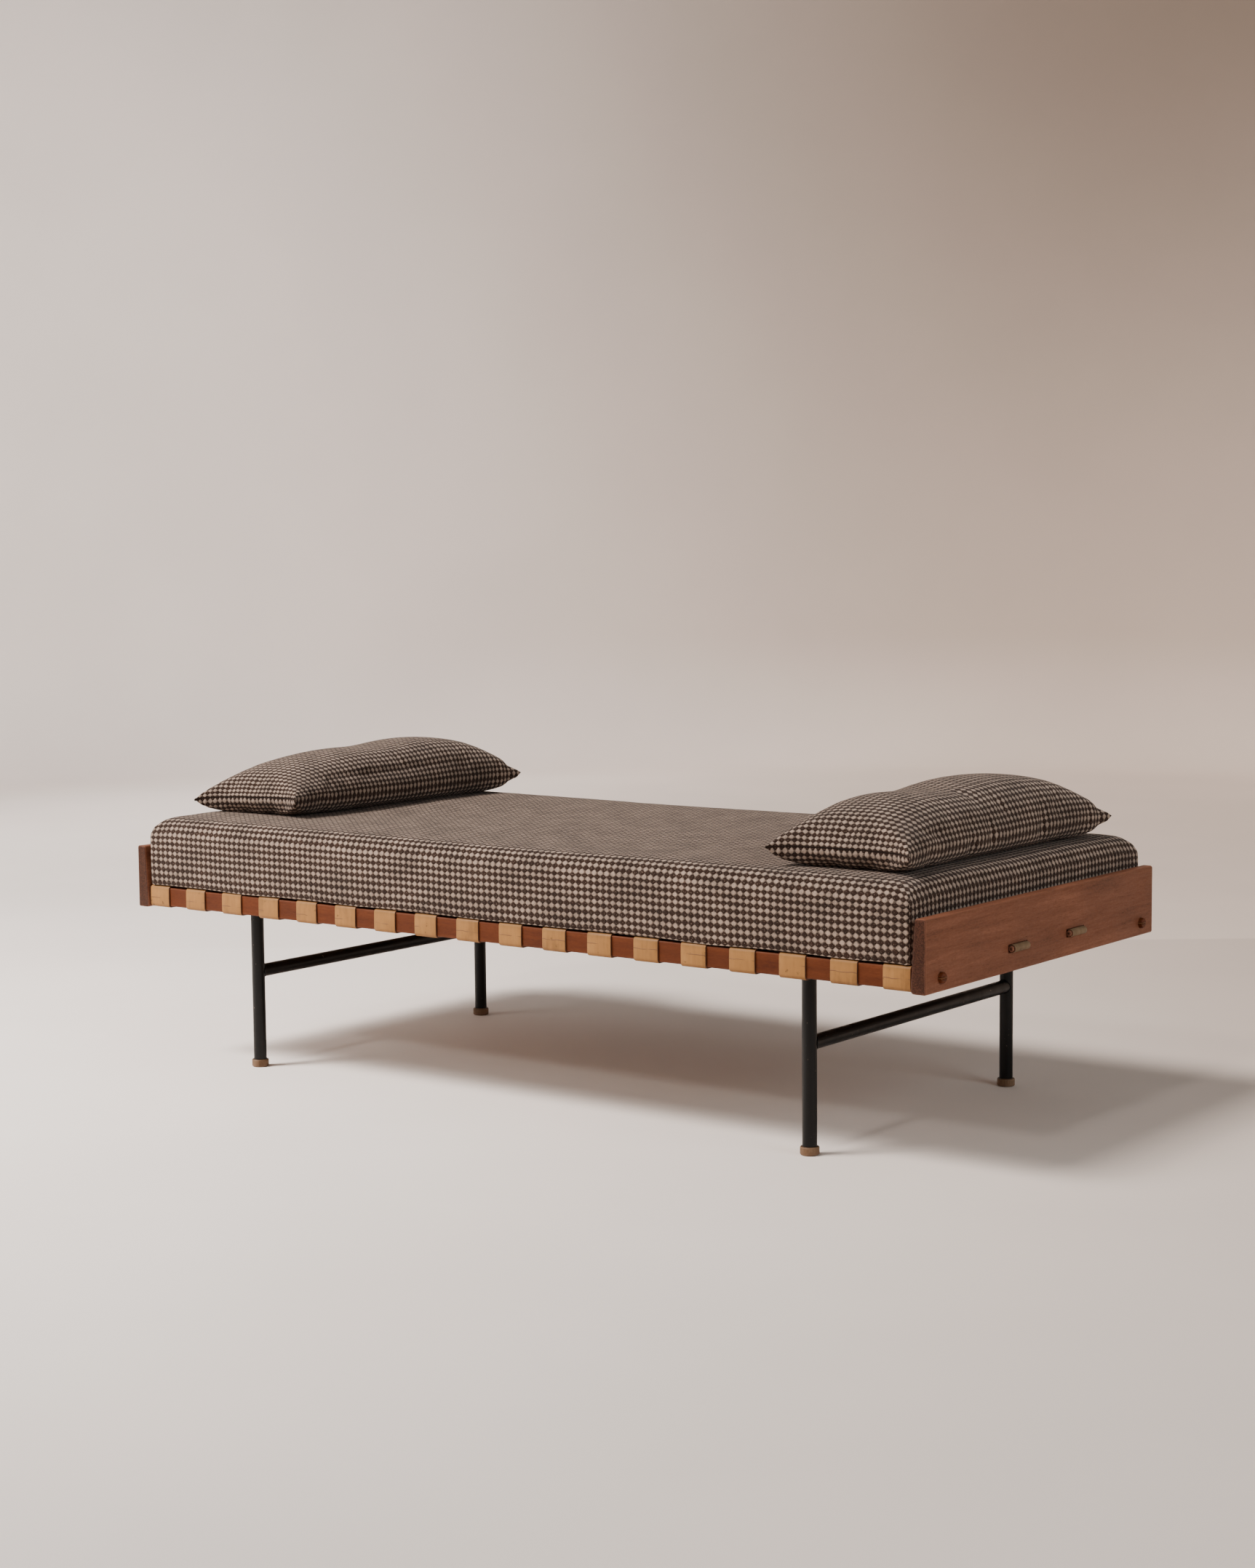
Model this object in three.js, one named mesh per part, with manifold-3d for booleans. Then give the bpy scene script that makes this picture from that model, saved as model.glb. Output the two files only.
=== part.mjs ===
// A low daybed: two wooden end boards joined by two side rails, a deck of woven straps,
// tubular steel legs on turned wooden feet, a mattress and two pillows.
// Millimetres, +Z up. The origin is on the floor, under the middle of the bed.
// +X runs along the bed towards its right end, and -Y is the front.
import * as THREE from "three";
import { mergeVertices } from "three/addons/utils/BufferGeometryUtils.js";
import Module from "manifold-3d";

const wasm = await Module();
wasm.setup();

// ---------- Driving dimensions ----------
const GAP = 0.3; // between pieces that touch

const LENGTH = 1946; // over the outer faces of the end boards
const BOARD = { width: 860, height: 131, bottom: 326.5, thickLow: 31, thickHigh: 22.5 };
const RAIL = { width: 87, height: 39.5, bottom: 331.5, middleY: 379, edge: 3 };
const TENON = { radius: 10, proud: 7, chamfer: 1.2, kerf: 3.6, kerfDepth: 28 };
const WEDGE = { length: 26, width: 18.6, thickOuter: 3, thickInner: 1.6 };

const STRAP = { count: 18, width: 56, pitch: 107.4, thick: 2.4, tailY: 388, rampLength: 50 };
const LONG_STRAP = { width: 56, thick: 1.8, middleY: 109, doubled: 100 };
const DOWEL = { radius: 5.25, length: 64, outside: 3.2 };
const COVE = { radius: 8.6, length: 70 };
const SLOT = { width: 58.5, height: 5 };

const LEG = { radius: 13.5, wall: 2, x: 690.7, y: 358.5 };
const STRETCHER_HEIGHT = 202.5;
const PLATE = { length: 64, width: 46, thick: 4, corner: 5 };
const SCREW = { radius: 2.2, length: 23, headRadius: 4.5, headHeight: 2.5, apart: 46 };
const FOOT = { radius: 17.75, height: 16, spigotLength: 20 };

const MATTRESS = { halfLength: 944, halfWidth: 431, height: 144 };
const MATTRESS_EDGE = { corner: 26, top: 22, bottom: 10 };
const COVER_THICK = 2.5;
const PILLOW = { width: 292, length: 728, crown: 92, seamHeight: 42, belly: 72 };
const SEAM_CURVE = { sides: 0.1, ends: 0.03 }; // how far the seam is drawn in, as a share
const PILLOW_PLACES = [
  { side: "left", x: -782, y: 64 },
  { side: "right", x: 768, y: -14 },
];
const ZIP = { height: 1.2, mattressLength: 900, pillowLength: 420 };

// How finely round pieces are drawn, in sides for a full turn.
const ROUND = { tenon: 24, cove: 20, saddle: 20, foot: 20, dowel: 16, hole: 10, screw: 8 };
const THROUGH = 100; // long enough for a cutter to pass right through a board

// ---------- Heights and places that follow from them ----------
const halfLength = LENGTH / 2;
const railTop = RAIL.bottom + RAIL.height;
const railAxisZ = RAIL.bottom + RAIL.height / 2;
const strapTop = railTop + GAP + STRAP.thick;
const longStrapZ = railTop - LONG_STRAP.thick;
const plateBottom = RAIL.bottom - GAP - PLATE.thick;
const mattressBottom = strapTop + GAP;
const mattressTop = mattressBottom + MATTRESS.height;
const firstStrapX = -((STRAP.count - 1) * STRAP.pitch) / 2;

// The end boards' inner faces lean outwards, so the boards are thinner at the top.
function boardThickness(z) {
  const share = (z - BOARD.bottom) / BOARD.height;
  return BOARD.thickLow + (BOARD.thickHigh - BOARD.thickLow) * share;
}

// ---------- Materials ----------
const material = (color, roughness, metalness = 0) =>
  new THREE.MeshStandardMaterial({ color, roughness, metalness });
const redWood = () => material(0x7c4a34, 0.55);
const paleWood = () => material(0xa07a55, 0.6);
const tanLeather = () => material(0xc6a070, 0.65);
const wornLeather = () => material(0xa39478, 0.8);
const blackPaint = () => material(0x1c1d1d, 0.45, 0.3);
const zincSteel = () => material(0x8d8f91, 0.4, 0.9);
const checkedFabric = () => material(0x7d6f66, 0.95);
const foam = () => material(0xe3dcc6, 0.95);

// ---------- Geometry helpers ----------
function toSolid(geometry) {
  const bare = geometry.clone();
  bare.deleteAttribute("normal");
  bare.deleteAttribute("uv");
  const merged = mergeVertices(bare, 1e-4);
  return new wasm.Manifold(
    new wasm.Mesh({
      numProp: 3,
      vertProperties: new Float32Array(merged.attributes.position.array),
      triVerts: new Uint32Array(merged.index.array),
    }),
  );
}

function toGeometry(solid) {
  const mesh = solid.getMesh();
  const geometry = new THREE.BufferGeometry();
  geometry.setAttribute("position", new THREE.BufferAttribute(mesh.vertProperties, 3));
  geometry.setIndex(new THREE.BufferAttribute(mesh.triVerts, 1));
  geometry.computeVertexNormals();
  return geometry;
}

const subtractAll = (solid, cutters) =>
  cutters.reduce((left, cutter) => left.subtract(toSolid(cutter)), solid);
const flat = { bevelEnabled: false };

// A shape drawn in X and Z, extruded along Y about Y = 0.
function extrudeAlongY(shape, length, options = {}) {
  const geometry = new THREE.ExtrudeGeometry(shape, { ...flat, depth: length, ...options });
  return geometry.translate(0, 0, -length / 2).rotateX(Math.PI / 2);
}

// A shape drawn in Y and Z, extruded along X about X = 0.
function extrudeAlongX(shape, length, options = {}) {
  const geometry = new THREE.ExtrudeGeometry(shape, { ...flat, depth: length, ...options });
  const turn = new THREE.Matrix4().makeBasis(
    new THREE.Vector3(0, 1, 0),
    new THREE.Vector3(0, 0, 1),
    new THREE.Vector3(1, 0, 0),
  );
  return geometry.translate(0, 0, -length / 2).applyMatrix4(turn);
}

const cylinderAlongX = (radius, length, sides) =>
  new THREE.CylinderGeometry(radius, radius, length, sides).rotateZ(Math.PI / 2);
const cylinderAlongY = (radius, length, sides) =>
  new THREE.CylinderGeometry(radius, radius, length, sides);
const cylinderAlongZ = (radius, length, sides) =>
  new THREE.CylinderGeometry(radius, radius, length, sides).rotateX(Math.PI / 2);

// A closed outline whose corners, each [x, y, rounding], are rounded off.
function roundedShape(corners) {
  const shape = new THREE.Shape();
  corners.forEach(([x, y, rounding], i) => {
    const corner = new THREE.Vector2(x, y);
    const before = corners[(i + corners.length - 1) % corners.length];
    const after = corners[(i + 1) % corners.length];
    const towards = ([toX, toY]) =>
      new THREE.Vector2(toX, toY).sub(corner).normalize().multiplyScalar(rounding).add(corner);
    const start = towards(before);
    const end = towards(after);
    if (i === 0) shape.moveTo(start.x, start.y);
    else shape.lineTo(start.x, start.y);
    shape.quadraticCurveTo(x, y, end.x, end.y);
  });
  shape.closePath();
  return shape;
}

const roundedRectangle = (width, height, rounding) =>
  roundedShape([
    [-width / 2, -height / 2, rounding],
    [width / 2, -height / 2, rounding],
    [width / 2, height / 2, rounding],
    [-width / 2, height / 2, rounding],
  ]);

// The outline of a band of even thickness along an open line of points.
function bandShape(points, thickness) {
  const sides = [[], []];
  points.forEach((point, i) => {
    const before = points[Math.max(i - 1, 0)];
    const after = points[Math.min(i + 1, points.length - 1)];
    const inward = point.clone().sub(before).normalize();
    const outward = after.clone().sub(point).normalize();
    const along = inward.clone().add(outward).normalize();
    const normal = new THREE.Vector2(-along.y, along.x);
    const turning = Math.max(along.dot(inward), along.dot(outward));
    const reach = thickness / 2 / turning;
    sides[0].push(point.clone().addScaledVector(normal, reach));
    sides[1].push(point.clone().addScaledVector(normal, -reach));
  });
  return new THREE.Shape([...sides[1], ...sides[0].reverse()]);
}

// A closed skin over a stack of rings, each a list of points with the same count.
function loft(rings) {
  const count = rings[0].length;
  const positions = rings.flat().flatMap((point) => [point.x, point.y, point.z]);
  const indices = [];
  for (let level = 0; level < rings.length - 1; level++)
    for (let i = 0; i < count; i++) {
      const a = level * count + i;
      const b = level * count + ((i + 1) % count);
      indices.push(a, b, b + count, a, b + count, a + count);
    }
  const top = (rings.length - 1) * count;
  for (let i = 1; i < count - 1; i++) {
    indices.push(0, i + 1, i);
    indices.push(top, top + i, top + i + 1);
  }
  const geometry = new THREE.BufferGeometry();
  geometry.setAttribute("position", new THREE.Float32BufferAttribute(positions, 3));
  geometry.setIndex(indices);
  geometry.computeVertexNormals();
  return geometry;
}

function addMesh(parent, name, geometry, finish) {
  const mesh = new THREE.Mesh(geometry, finish);
  mesh.name = name;
  parent.add(mesh);
  return mesh;
}

const daybed = new THREE.Group();
const ends = [
  { side: "left", sign: -1, turn: Math.PI },
  { side: "right", sign: 1, turn: 0 },
];
const flanks = [
  { flank: "front", sign: -1 },
  { flank: "back", sign: 1 },
];

// ---------- End boards ----------
// Made for the right end, and turned half way round for the left end.
function endBoardGeometry() {
  const top = BOARD.bottom + BOARD.height;
  const round = 2.5;
  const outline = roundedShape([
    [halfLength - BOARD.thickLow, BOARD.bottom, 8],
    [halfLength, BOARD.bottom, 4],
    [halfLength, top, 5],
    [halfLength - BOARD.thickHigh, top, 5],
  ]);
  const board = toSolid(
    extrudeAlongY(outline, BOARD.width - 2 * round, {
      curveSegments: 4,
      bevelEnabled: true,
      bevelThickness: round,
      bevelSize: round,
      bevelOffset: -round,
      bevelSegments: 2,
    }),
  );
  const cutters = flanks.flatMap(({ sign }) => {
    const strapY = sign * LONG_STRAP.middleY;
    const hole = cylinderAlongX(TENON.radius + GAP, THROUGH, ROUND.tenon);
    const slot = new THREE.BoxGeometry(THROUGH, SLOT.width, SLOT.height);
    const cove = cylinderAlongY(COVE.radius, COVE.length, ROUND.cove);
    return [
      hole.translate(halfLength, sign * RAIL.middleY, railAxisZ),
      slot.translate(halfLength, strapY, longStrapZ),
      cove.translate(halfLength + DOWEL.outside, strapY, longStrapZ),
    ];
  });
  return toGeometry(subtractAll(board, cutters));
}

// ---------- Side rails with a turned tenon at each end ----------
function tenonGeometry() {
  const length = TENON.proud + BOARD.thickLow + TENON.radius;
  const profile = [
    [0, 0],
    [TENON.radius, 0],
    [TENON.radius, length - TENON.chamfer],
    [TENON.radius - TENON.chamfer, length],
    [0, length],
  ].map(([radius, along]) => new THREE.Vector2(radius, along));
  const tenon = new THREE.LatheGeometry(profile, ROUND.tenon).rotateZ(-Math.PI / 2);
  return tenon.translate(halfLength + TENON.proud - length, 0, railAxisZ);
}

// Made about Y = 0, and moved to the front or the back.
function railGeometry() {
  const section = roundedRectangle(RAIL.width, RAIL.height, RAIL.edge);
  const bar = extrudeAlongX(section, LENGTH, { curveSegments: 3 }).translate(0, 0, railAxisZ);
  const boardTop = BOARD.bottom + BOARD.height;
  const lowEnd = halfLength - BOARD.thickLow - GAP;
  const highEnd = halfLength - BOARD.thickHigh - GAP;
  const between = new THREE.Shape(
    [
      [-lowEnd, BOARD.bottom],
      [lowEnd, BOARD.bottom],
      [highEnd, boardTop],
      [-highEnd, boardTop],
    ].map(([x, z]) => new THREE.Vector2(x, z)),
  );
  let rail = toSolid(bar).intersect(toSolid(extrudeAlongY(between, 2 * RAIL.width)));
  for (const { turn } of ends) rail = rail.add(toSolid(tenonGeometry().rotateZ(turn)));
  return rail;
}

function kerfCutters() {
  const clearance = 5;
  const depth = TENON.kerfDepth + clearance;
  const middle = halfLength + TENON.proud - TENON.kerfDepth + depth / 2;
  return ends.map(({ turn }) => {
    const kerf = new THREE.BoxGeometry(depth, 3 * TENON.radius, TENON.kerf);
    return kerf.translate(middle, 0, railAxisZ).rotateZ(turn);
  });
}

function screwHoleCutters(flankSign) {
  const spare = 3;
  const holeDepth = SCREW.length + spare;
  const offsetY = flankSign * (LEG.y - RAIL.middleY);
  return ends.flatMap(({ sign }) =>
    [-1, 1].map((side) => {
      const hole = cylinderAlongZ(SCREW.radius + GAP, 2 * holeDepth, ROUND.hole);
      return hole.translate(sign * LEG.x + (side * SCREW.apart) / 2, offsetY, RAIL.bottom);
    }),
  );
}

function wedgeGeometry() {
  const outerX = halfLength + TENON.proud - GAP;
  const innerX = outerX - WEDGE.length;
  const outline = new THREE.Shape(
    [
      [innerX, -WEDGE.thickInner / 2],
      [outerX, -WEDGE.thickOuter / 2],
      [outerX, WEDGE.thickOuter / 2],
      [innerX, WEDGE.thickInner / 2],
    ].map(([x, z]) => new THREE.Vector2(x, z)),
  );
  return extrudeAlongY(outline, WEDGE.width).translate(0, 0, railAxisZ);
}

const frame = new THREE.Group();
daybed.add(frame);
const boardShape = endBoardGeometry();
for (const { side, turn } of ends) {
  addMesh(frame, `end_board_${side}`, boardShape, redWood()).rotation.z = turn;
}
for (const { flank, sign } of flanks) {
  const rail = subtractAll(railGeometry(), [...kerfCutters(), ...screwHoleCutters(sign)]);
  addMesh(frame, `side_rail_${flank}`, toGeometry(rail), redWood()).position.y = sign * RAIL.middleY;
  for (const { side, turn } of ends) {
    const wedge = addMesh(frame, `tenon_wedge_${flank}_${side}`, wedgeGeometry(), paleWood());
    wedge.rotation.z = turn;
    wedge.position.y = sign * RAIL.middleY;
  }
}

// ---------- Cross straps ----------
// Each lies over both rails, wraps round them and ends on their undersides.
// It passes under one long strap and over the other; dipSign is the side where it passes under.
function crossStrapGeometry(dipSign) {
  const bend = RAIL.edge + GAP + STRAP.thick / 2;
  const outerY = RAIL.middleY + RAIL.width / 2;
  const arcY = outerY - RAIL.edge;
  const lowZ = RAIL.bottom + RAIL.edge;
  const highZ = railTop - RAIL.edge;
  const levelZ = highZ + bend;
  const dipZ = longStrapZ - LONG_STRAP.thick - GAP - STRAP.thick / 2;
  const easing = 4;
  const dipHalf = LONG_STRAP.width / 2 + easing;
  const dip = [
    [-dipHalf - STRAP.rampLength, levelZ],
    [-dipHalf, dipZ],
    [dipHalf, dipZ],
    [dipHalf + STRAP.rampLength, levelZ],
  ];
  const line = new THREE.Path();
  line.moveTo(-STRAP.tailY, lowZ - bend);
  line.absarc(-arcY, lowZ, bend, -Math.PI / 2, -Math.PI, true);
  line.absarc(-arcY, highZ, bend, Math.PI, Math.PI / 2, true);
  for (const [y, z] of dip) line.lineTo(dipSign * LONG_STRAP.middleY + y, z);
  line.absarc(arcY, highZ, bend, Math.PI / 2, 0, true);
  line.absarc(arcY, lowZ, bend, 0, -Math.PI / 2, true);
  line.lineTo(STRAP.tailY, lowZ - bend);
  return extrudeAlongX(bandShape(line.getPoints(2), STRAP.thick), STRAP.width);
}

const deck = new THREE.Group();
daybed.add(deck);
for (let i = 0; i < STRAP.count; i++) {
  const number = String(i + 1).padStart(2, "0");
  const dipSign = i % 2 ? 1 : -1;
  const strap = addMesh(deck, `cross_strap_${number}`, crossStrapGeometry(dipSign), tanLeather());
  strap.position.x = firstStrapX + i * STRAP.pitch;
}

// ---------- Long straps and the dowels that hold them ----------
// Each runs straight from end to end and through a slot in each end board. Outside, it loops
// round a dowel and comes back, so it is two layers thick for a stretch at each end.
function longStrapGeometry() {
  const dowelX = halfLength + DOWEL.outside;
  const innerRadius = DOWEL.radius + GAP;
  const outerRadius = innerRadius + LONG_STRAP.thick;
  const middle = (innerRadius + outerRadius) / 2;
  const doubledLength = BOARD.thickLow + LONG_STRAP.doubled;
  const span = 2 * (dowelX - middle);
  let strap = toSolid(new THREE.BoxGeometry(span, LONG_STRAP.width, LONG_STRAP.thick));
  const ring = new THREE.Shape().absarc(0, 0, outerRadius, 0, 2 * Math.PI, false);
  ring.holes.push(new THREE.Path().absarc(0, 0, innerRadius, 0, 2 * Math.PI, true));
  for (const { sign } of ends) {
    const doubled = new THREE.BoxGeometry(doubledLength, LONG_STRAP.width, 2 * LONG_STRAP.thick);
    doubled.translate((sign * (span - doubledLength)) / 2, 0, 0);
    strap = strap.add(toSolid(doubled));
    const loop = extrudeAlongY(ring, LONG_STRAP.width, { curveSegments: 9 });
    strap = strap.add(toSolid(loop.translate(sign * dowelX, 0, 0)));
  }
  return toGeometry(strap);
}

function dowelGeometry() {
  const soft = 0.8;
  const half = DOWEL.length / 2;
  const profile = [
    [0, -half],
    [DOWEL.radius - soft, -half],
    [DOWEL.radius, -half + soft],
    [DOWEL.radius, half - soft],
    [DOWEL.radius - soft, half],
    [0, half],
  ].map(([radius, along]) => new THREE.Vector2(radius, along));
  return new THREE.LatheGeometry(profile, ROUND.dowel);
}

for (const { flank, sign } of flanks) {
  const strap = addMesh(deck, `long_strap_${flank}`, longStrapGeometry(), wornLeather());
  strap.position.set(0, sign * LONG_STRAP.middleY, longStrapZ);
  for (const end of ends) {
    const dowel = addMesh(deck, `strap_dowel_${flank}_${end.side}`, dowelGeometry(), redWood());
    const dowelX = end.sign * (halfLength + DOWEL.outside);
    dowel.position.set(dowelX, sign * LONG_STRAP.middleY, longStrapZ);
  }
}

// ---------- Legs, cross bars, plates, screws and feet ----------
function tubeShape() {
  const shape = new THREE.Shape().absarc(0, 0, LEG.radius, 0, 2 * Math.PI, false);
  shape.holes.push(new THREE.Path().absarc(0, 0, LEG.radius - LEG.wall, 0, 2 * Math.PI, true));
  return shape;
}

function legGeometry() {
  const bottom = FOOT.height + GAP;
  const depth = plateBottom - GAP - bottom;
  const tube = new THREE.ExtrudeGeometry(tubeShape(), { ...flat, depth, curveSegments: 10 });
  return tube.translate(0, 0, bottom);
}

// The ends are cut to a saddle that fits round the legs.
function stretcherGeometry() {
  const bar = toSolid(extrudeAlongY(tubeShape(), 2 * LEG.y, { curveSegments: 10 }));
  const saddles = flanks.map(({ sign }) =>
    cylinderAlongZ(LEG.radius + GAP, 4 * LEG.radius, ROUND.saddle).translate(0, sign * LEG.y, 0),
  );
  return toGeometry(subtractAll(bar, saddles));
}

function plateGeometry() {
  const shape = roundedRectangle(PLATE.length, PLATE.width, PLATE.corner);
  for (const side of [-1, 1]) {
    const hole = new THREE.Path();
    hole.absarc((side * SCREW.apart) / 2, 0, SCREW.radius + GAP, 0, 2 * Math.PI, true);
    shape.holes.push(hole);
  }
  return new THREE.ExtrudeGeometry(shape, { ...flat, depth: PLATE.thick, curveSegments: 4 });
}

function screwGeometry() {
  const domeRadius = 0.7 * SCREW.headRadius;
  const rimHeight = 0.4 * SCREW.headHeight;
  const profile = [
    [0, -SCREW.headHeight],
    [domeRadius, -SCREW.headHeight],
    [SCREW.headRadius, -rimHeight],
    [SCREW.headRadius, 0],
    [SCREW.radius, 0],
    [SCREW.radius, SCREW.length - 3 * SCREW.radius],
    [0, SCREW.length],
  ].map(([radius, along]) => new THREE.Vector2(radius, along));
  return new THREE.LatheGeometry(profile, ROUND.screw).rotateX(Math.PI / 2);
}

// A turned disc with a spigot that plugs into the leg tube.
function footGeometry() {
  const spigot = LEG.radius - LEG.wall - GAP;
  const chamfer = 2;
  const topRound = 3;
  const round = new THREE.Path();
  round.absarc(FOOT.radius - topRound, FOOT.height - topRound, topRound, 0, Math.PI / 2, false);
  const profile = [
    new THREE.Vector2(0, 0),
    new THREE.Vector2(FOOT.radius - chamfer, 0),
    new THREE.Vector2(FOOT.radius, chamfer),
    ...round.getPoints(2),
    new THREE.Vector2(spigot, FOOT.height),
    new THREE.Vector2(spigot, FOOT.height + FOOT.spigotLength),
    new THREE.Vector2(0, FOOT.height + FOOT.spigotLength),
  ];
  return new THREE.LatheGeometry(profile, ROUND.foot).rotateX(Math.PI / 2);
}

const undercarriage = new THREE.Group();
daybed.add(undercarriage);
for (const { side, sign: endSign } of ends) {
  const stretcher = addMesh(undercarriage, `stretcher_${side}`, stretcherGeometry(), blackPaint());
  stretcher.position.set(endSign * LEG.x, 0, STRETCHER_HEIGHT);
  for (const { flank, sign } of flanks) {
    const leg = new THREE.Group();
    leg.position.set(endSign * LEG.x, sign * LEG.y, 0);
    undercarriage.add(leg);
    addMesh(leg, `leg_tube_${flank}_${side}`, legGeometry(), blackPaint());
    addMesh(leg, `leg_plate_${flank}_${side}`, plateGeometry(), blackPaint()).position.z = plateBottom;
    addMesh(leg, `foot_${flank}_${side}`, footGeometry(), paleWood());
    for (const [label, screwSign] of [
      ["a", -1],
      ["b", 1],
    ]) {
      const name = `plate_screw_${flank}_${side}_${label}`;
      const screw = addMesh(leg, name, screwGeometry(), zincSteel());
      screw.position.set((screwSign * SCREW.apart) / 2, 0, plateBottom - GAP);
    }
  }
}

// ---------- Mattress: a foam core in a zipped cover ----------
function slabRing(halfX, halfY, inset, z) {
  const steps = 4;
  const radius = Math.max(MATTRESS_EDGE.corner - inset, 1);
  const ring = [];
  for (let quarter = 0; quarter < 4; quarter++) {
    const signX = quarter === 0 || quarter === 3 ? 1 : -1;
    const signY = quarter < 2 ? 1 : -1;
    for (let step = 0; step <= steps; step++) {
      const angle = ((quarter + step / steps) * Math.PI) / 2;
      const x = signX * (halfX - inset - radius) + radius * Math.cos(angle);
      const y = signY * (halfY - inset - radius) + radius * Math.sin(angle);
      ring.push(new THREE.Vector3(x, y, z));
    }
  }
  return ring;
}

// A slab with rounded corners and edges; margin shrinks it on every side.
function slabGeometry(margin) {
  const halfX = MATTRESS.halfLength - margin;
  const halfY = MATTRESS.halfWidth - margin;
  const low = mattressBottom + margin;
  const high = mattressTop - margin;
  const steps = 3;
  const angles = Array.from({ length: steps + 1 }, (_, step) => ((step / steps) * Math.PI) / 2);
  const bottomRings = angles.map((angle) => {
    const inset = MATTRESS_EDGE.bottom * (1 - Math.sin(angle));
    const rise = MATTRESS_EDGE.bottom * (1 - Math.cos(angle));
    return slabRing(halfX, halfY, inset, low + rise);
  });
  const topRings = angles.map((angle) => {
    const inset = MATTRESS_EDGE.top * (1 - Math.cos(angle));
    const drop = MATTRESS_EDGE.top * (1 - Math.sin(angle));
    return slabRing(halfX, halfY, inset, high - drop);
  });
  return loft([...bottomRings, ...topRings]);
}

const bedding = new THREE.Group();
daybed.add(bedding);
const mattressZip = new THREE.BoxGeometry(ZIP.mattressLength, 8 * COVER_THICK, ZIP.height);
mattressZip.translate(0, MATTRESS.halfWidth, mattressBottom + MATTRESS.height / 2);
const coverSolid = toSolid(slabGeometry(0)).subtract(toSolid(slabGeometry(COVER_THICK)));
const mattressCover = toGeometry(subtractAll(coverSolid, [mattressZip]));
addMesh(bedding, "mattress_cover", mattressCover, checkedFabric());
addMesh(bedding, "mattress_core", slabGeometry(COVER_THICK + GAP), foam());

// ---------- Pillows: an insert in a zipped cover ----------
// Two sheets meet in a seam round the edge. The top is crowned, and the underside is flat
// where it rests. The origin is on the underside, and margin shrinks the form on every side.
function pillowGeometry(margin) {
  const columns = 8;
  const rows = 12;
  const halfWidth = PILLOW.width / 2 - 2 * margin;
  const halfLong = PILLOW.length / 2 - 2 * margin;
  const place = (u, v, top) => {
    const x = halfWidth * u * (1 - SEAM_CURVE.sides * (1 - v * v));
    const y = halfLong * v * (1 - SEAM_CURVE.ends * (1 - u * u));
    const swell = Math.sqrt((1 - u ** 2) * (1 - v ** 4));
    const belly = Math.min(PILLOW.seamHeight - margin, PILLOW.belly * swell);
    return [x, y, PILLOW.seamHeight + (top ? (PILLOW.crown - margin) * swell : -belly)];
  };
  const positions = [];
  const indices = [];
  for (const top of [true, false]) {
    const first = positions.length / 3;
    for (let row = 0; row <= rows; row++) {
      const v = -Math.cos((row / rows) * Math.PI);
      for (let column = 0; column <= columns; column++) {
        const u = -Math.cos((column / columns) * Math.PI);
        positions.push(...place(u, v, top));
      }
    }
    for (let row = 0; row < rows; row++)
      for (let column = 0; column < columns; column++) {
        const a = first + row * (columns + 1) + column;
        const b = a + 1;
        const c = a + columns + 1;
        const d = c + 1;
        const faces = top ? [a, b, d, a, d, c] : [a, d, b, a, c, d];
        indices.push(...faces);
      }
  }
  const geometry = new THREE.BufferGeometry();
  geometry.setAttribute("position", new THREE.Float32BufferAttribute(positions, 3));
  geometry.setIndex(indices);
  const closed = mergeVertices(geometry, 1e-3);
  closed.computeVertexNormals();
  return closed;
}

function pillowCoverGeometry() {
  const shell = toSolid(pillowGeometry(0)).subtract(toSolid(pillowGeometry(COVER_THICK)));
  const zip = new THREE.BoxGeometry(PILLOW.width / 5, ZIP.pillowLength, ZIP.height);
  zip.translate(-PILLOW.width / 2, 0, PILLOW.seamHeight);
  return toGeometry(subtractAll(shell, [zip]));
}

for (const { side, x, y } of PILLOW_PLACES) {
  const pillow = new THREE.Group();
  pillow.position.set(x, y, mattressTop + GAP);
  bedding.add(pillow);
  addMesh(pillow, `pillow_cover_${side}`, pillowCoverGeometry(), checkedFabric());
  addMesh(pillow, `pillow_insert_${side}`, pillowGeometry(COVER_THICK + 2 * GAP), foam());
}

export default daybed;
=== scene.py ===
"""Looks for the daybed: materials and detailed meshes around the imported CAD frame. Metres, +Z up."""

import math

import bpy
import numpy as np
from mathutils import Matrix, Vector


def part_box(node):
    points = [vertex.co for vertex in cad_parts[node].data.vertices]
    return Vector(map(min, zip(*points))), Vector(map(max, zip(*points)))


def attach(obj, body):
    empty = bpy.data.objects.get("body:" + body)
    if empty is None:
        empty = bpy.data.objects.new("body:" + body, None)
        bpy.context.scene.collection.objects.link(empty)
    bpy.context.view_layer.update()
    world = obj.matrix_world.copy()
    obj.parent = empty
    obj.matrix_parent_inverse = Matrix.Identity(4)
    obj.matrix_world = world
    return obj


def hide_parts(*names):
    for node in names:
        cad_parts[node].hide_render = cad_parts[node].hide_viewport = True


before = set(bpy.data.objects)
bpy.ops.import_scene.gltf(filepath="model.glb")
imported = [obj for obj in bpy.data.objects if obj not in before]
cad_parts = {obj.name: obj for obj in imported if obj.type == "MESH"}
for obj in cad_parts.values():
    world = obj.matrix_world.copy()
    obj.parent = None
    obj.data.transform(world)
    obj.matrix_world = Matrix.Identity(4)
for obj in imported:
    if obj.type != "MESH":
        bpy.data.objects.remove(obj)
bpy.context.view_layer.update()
SEED = 7
rng = np.random.default_rng(SEED)

# ---------- Camera ----------
EYE = Vector((3.2545, -4.2635, 1.1236))
YAW, PITCH, ROLL = 0.6497, 0.09678, -0.00928
LENS = 60.72


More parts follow.
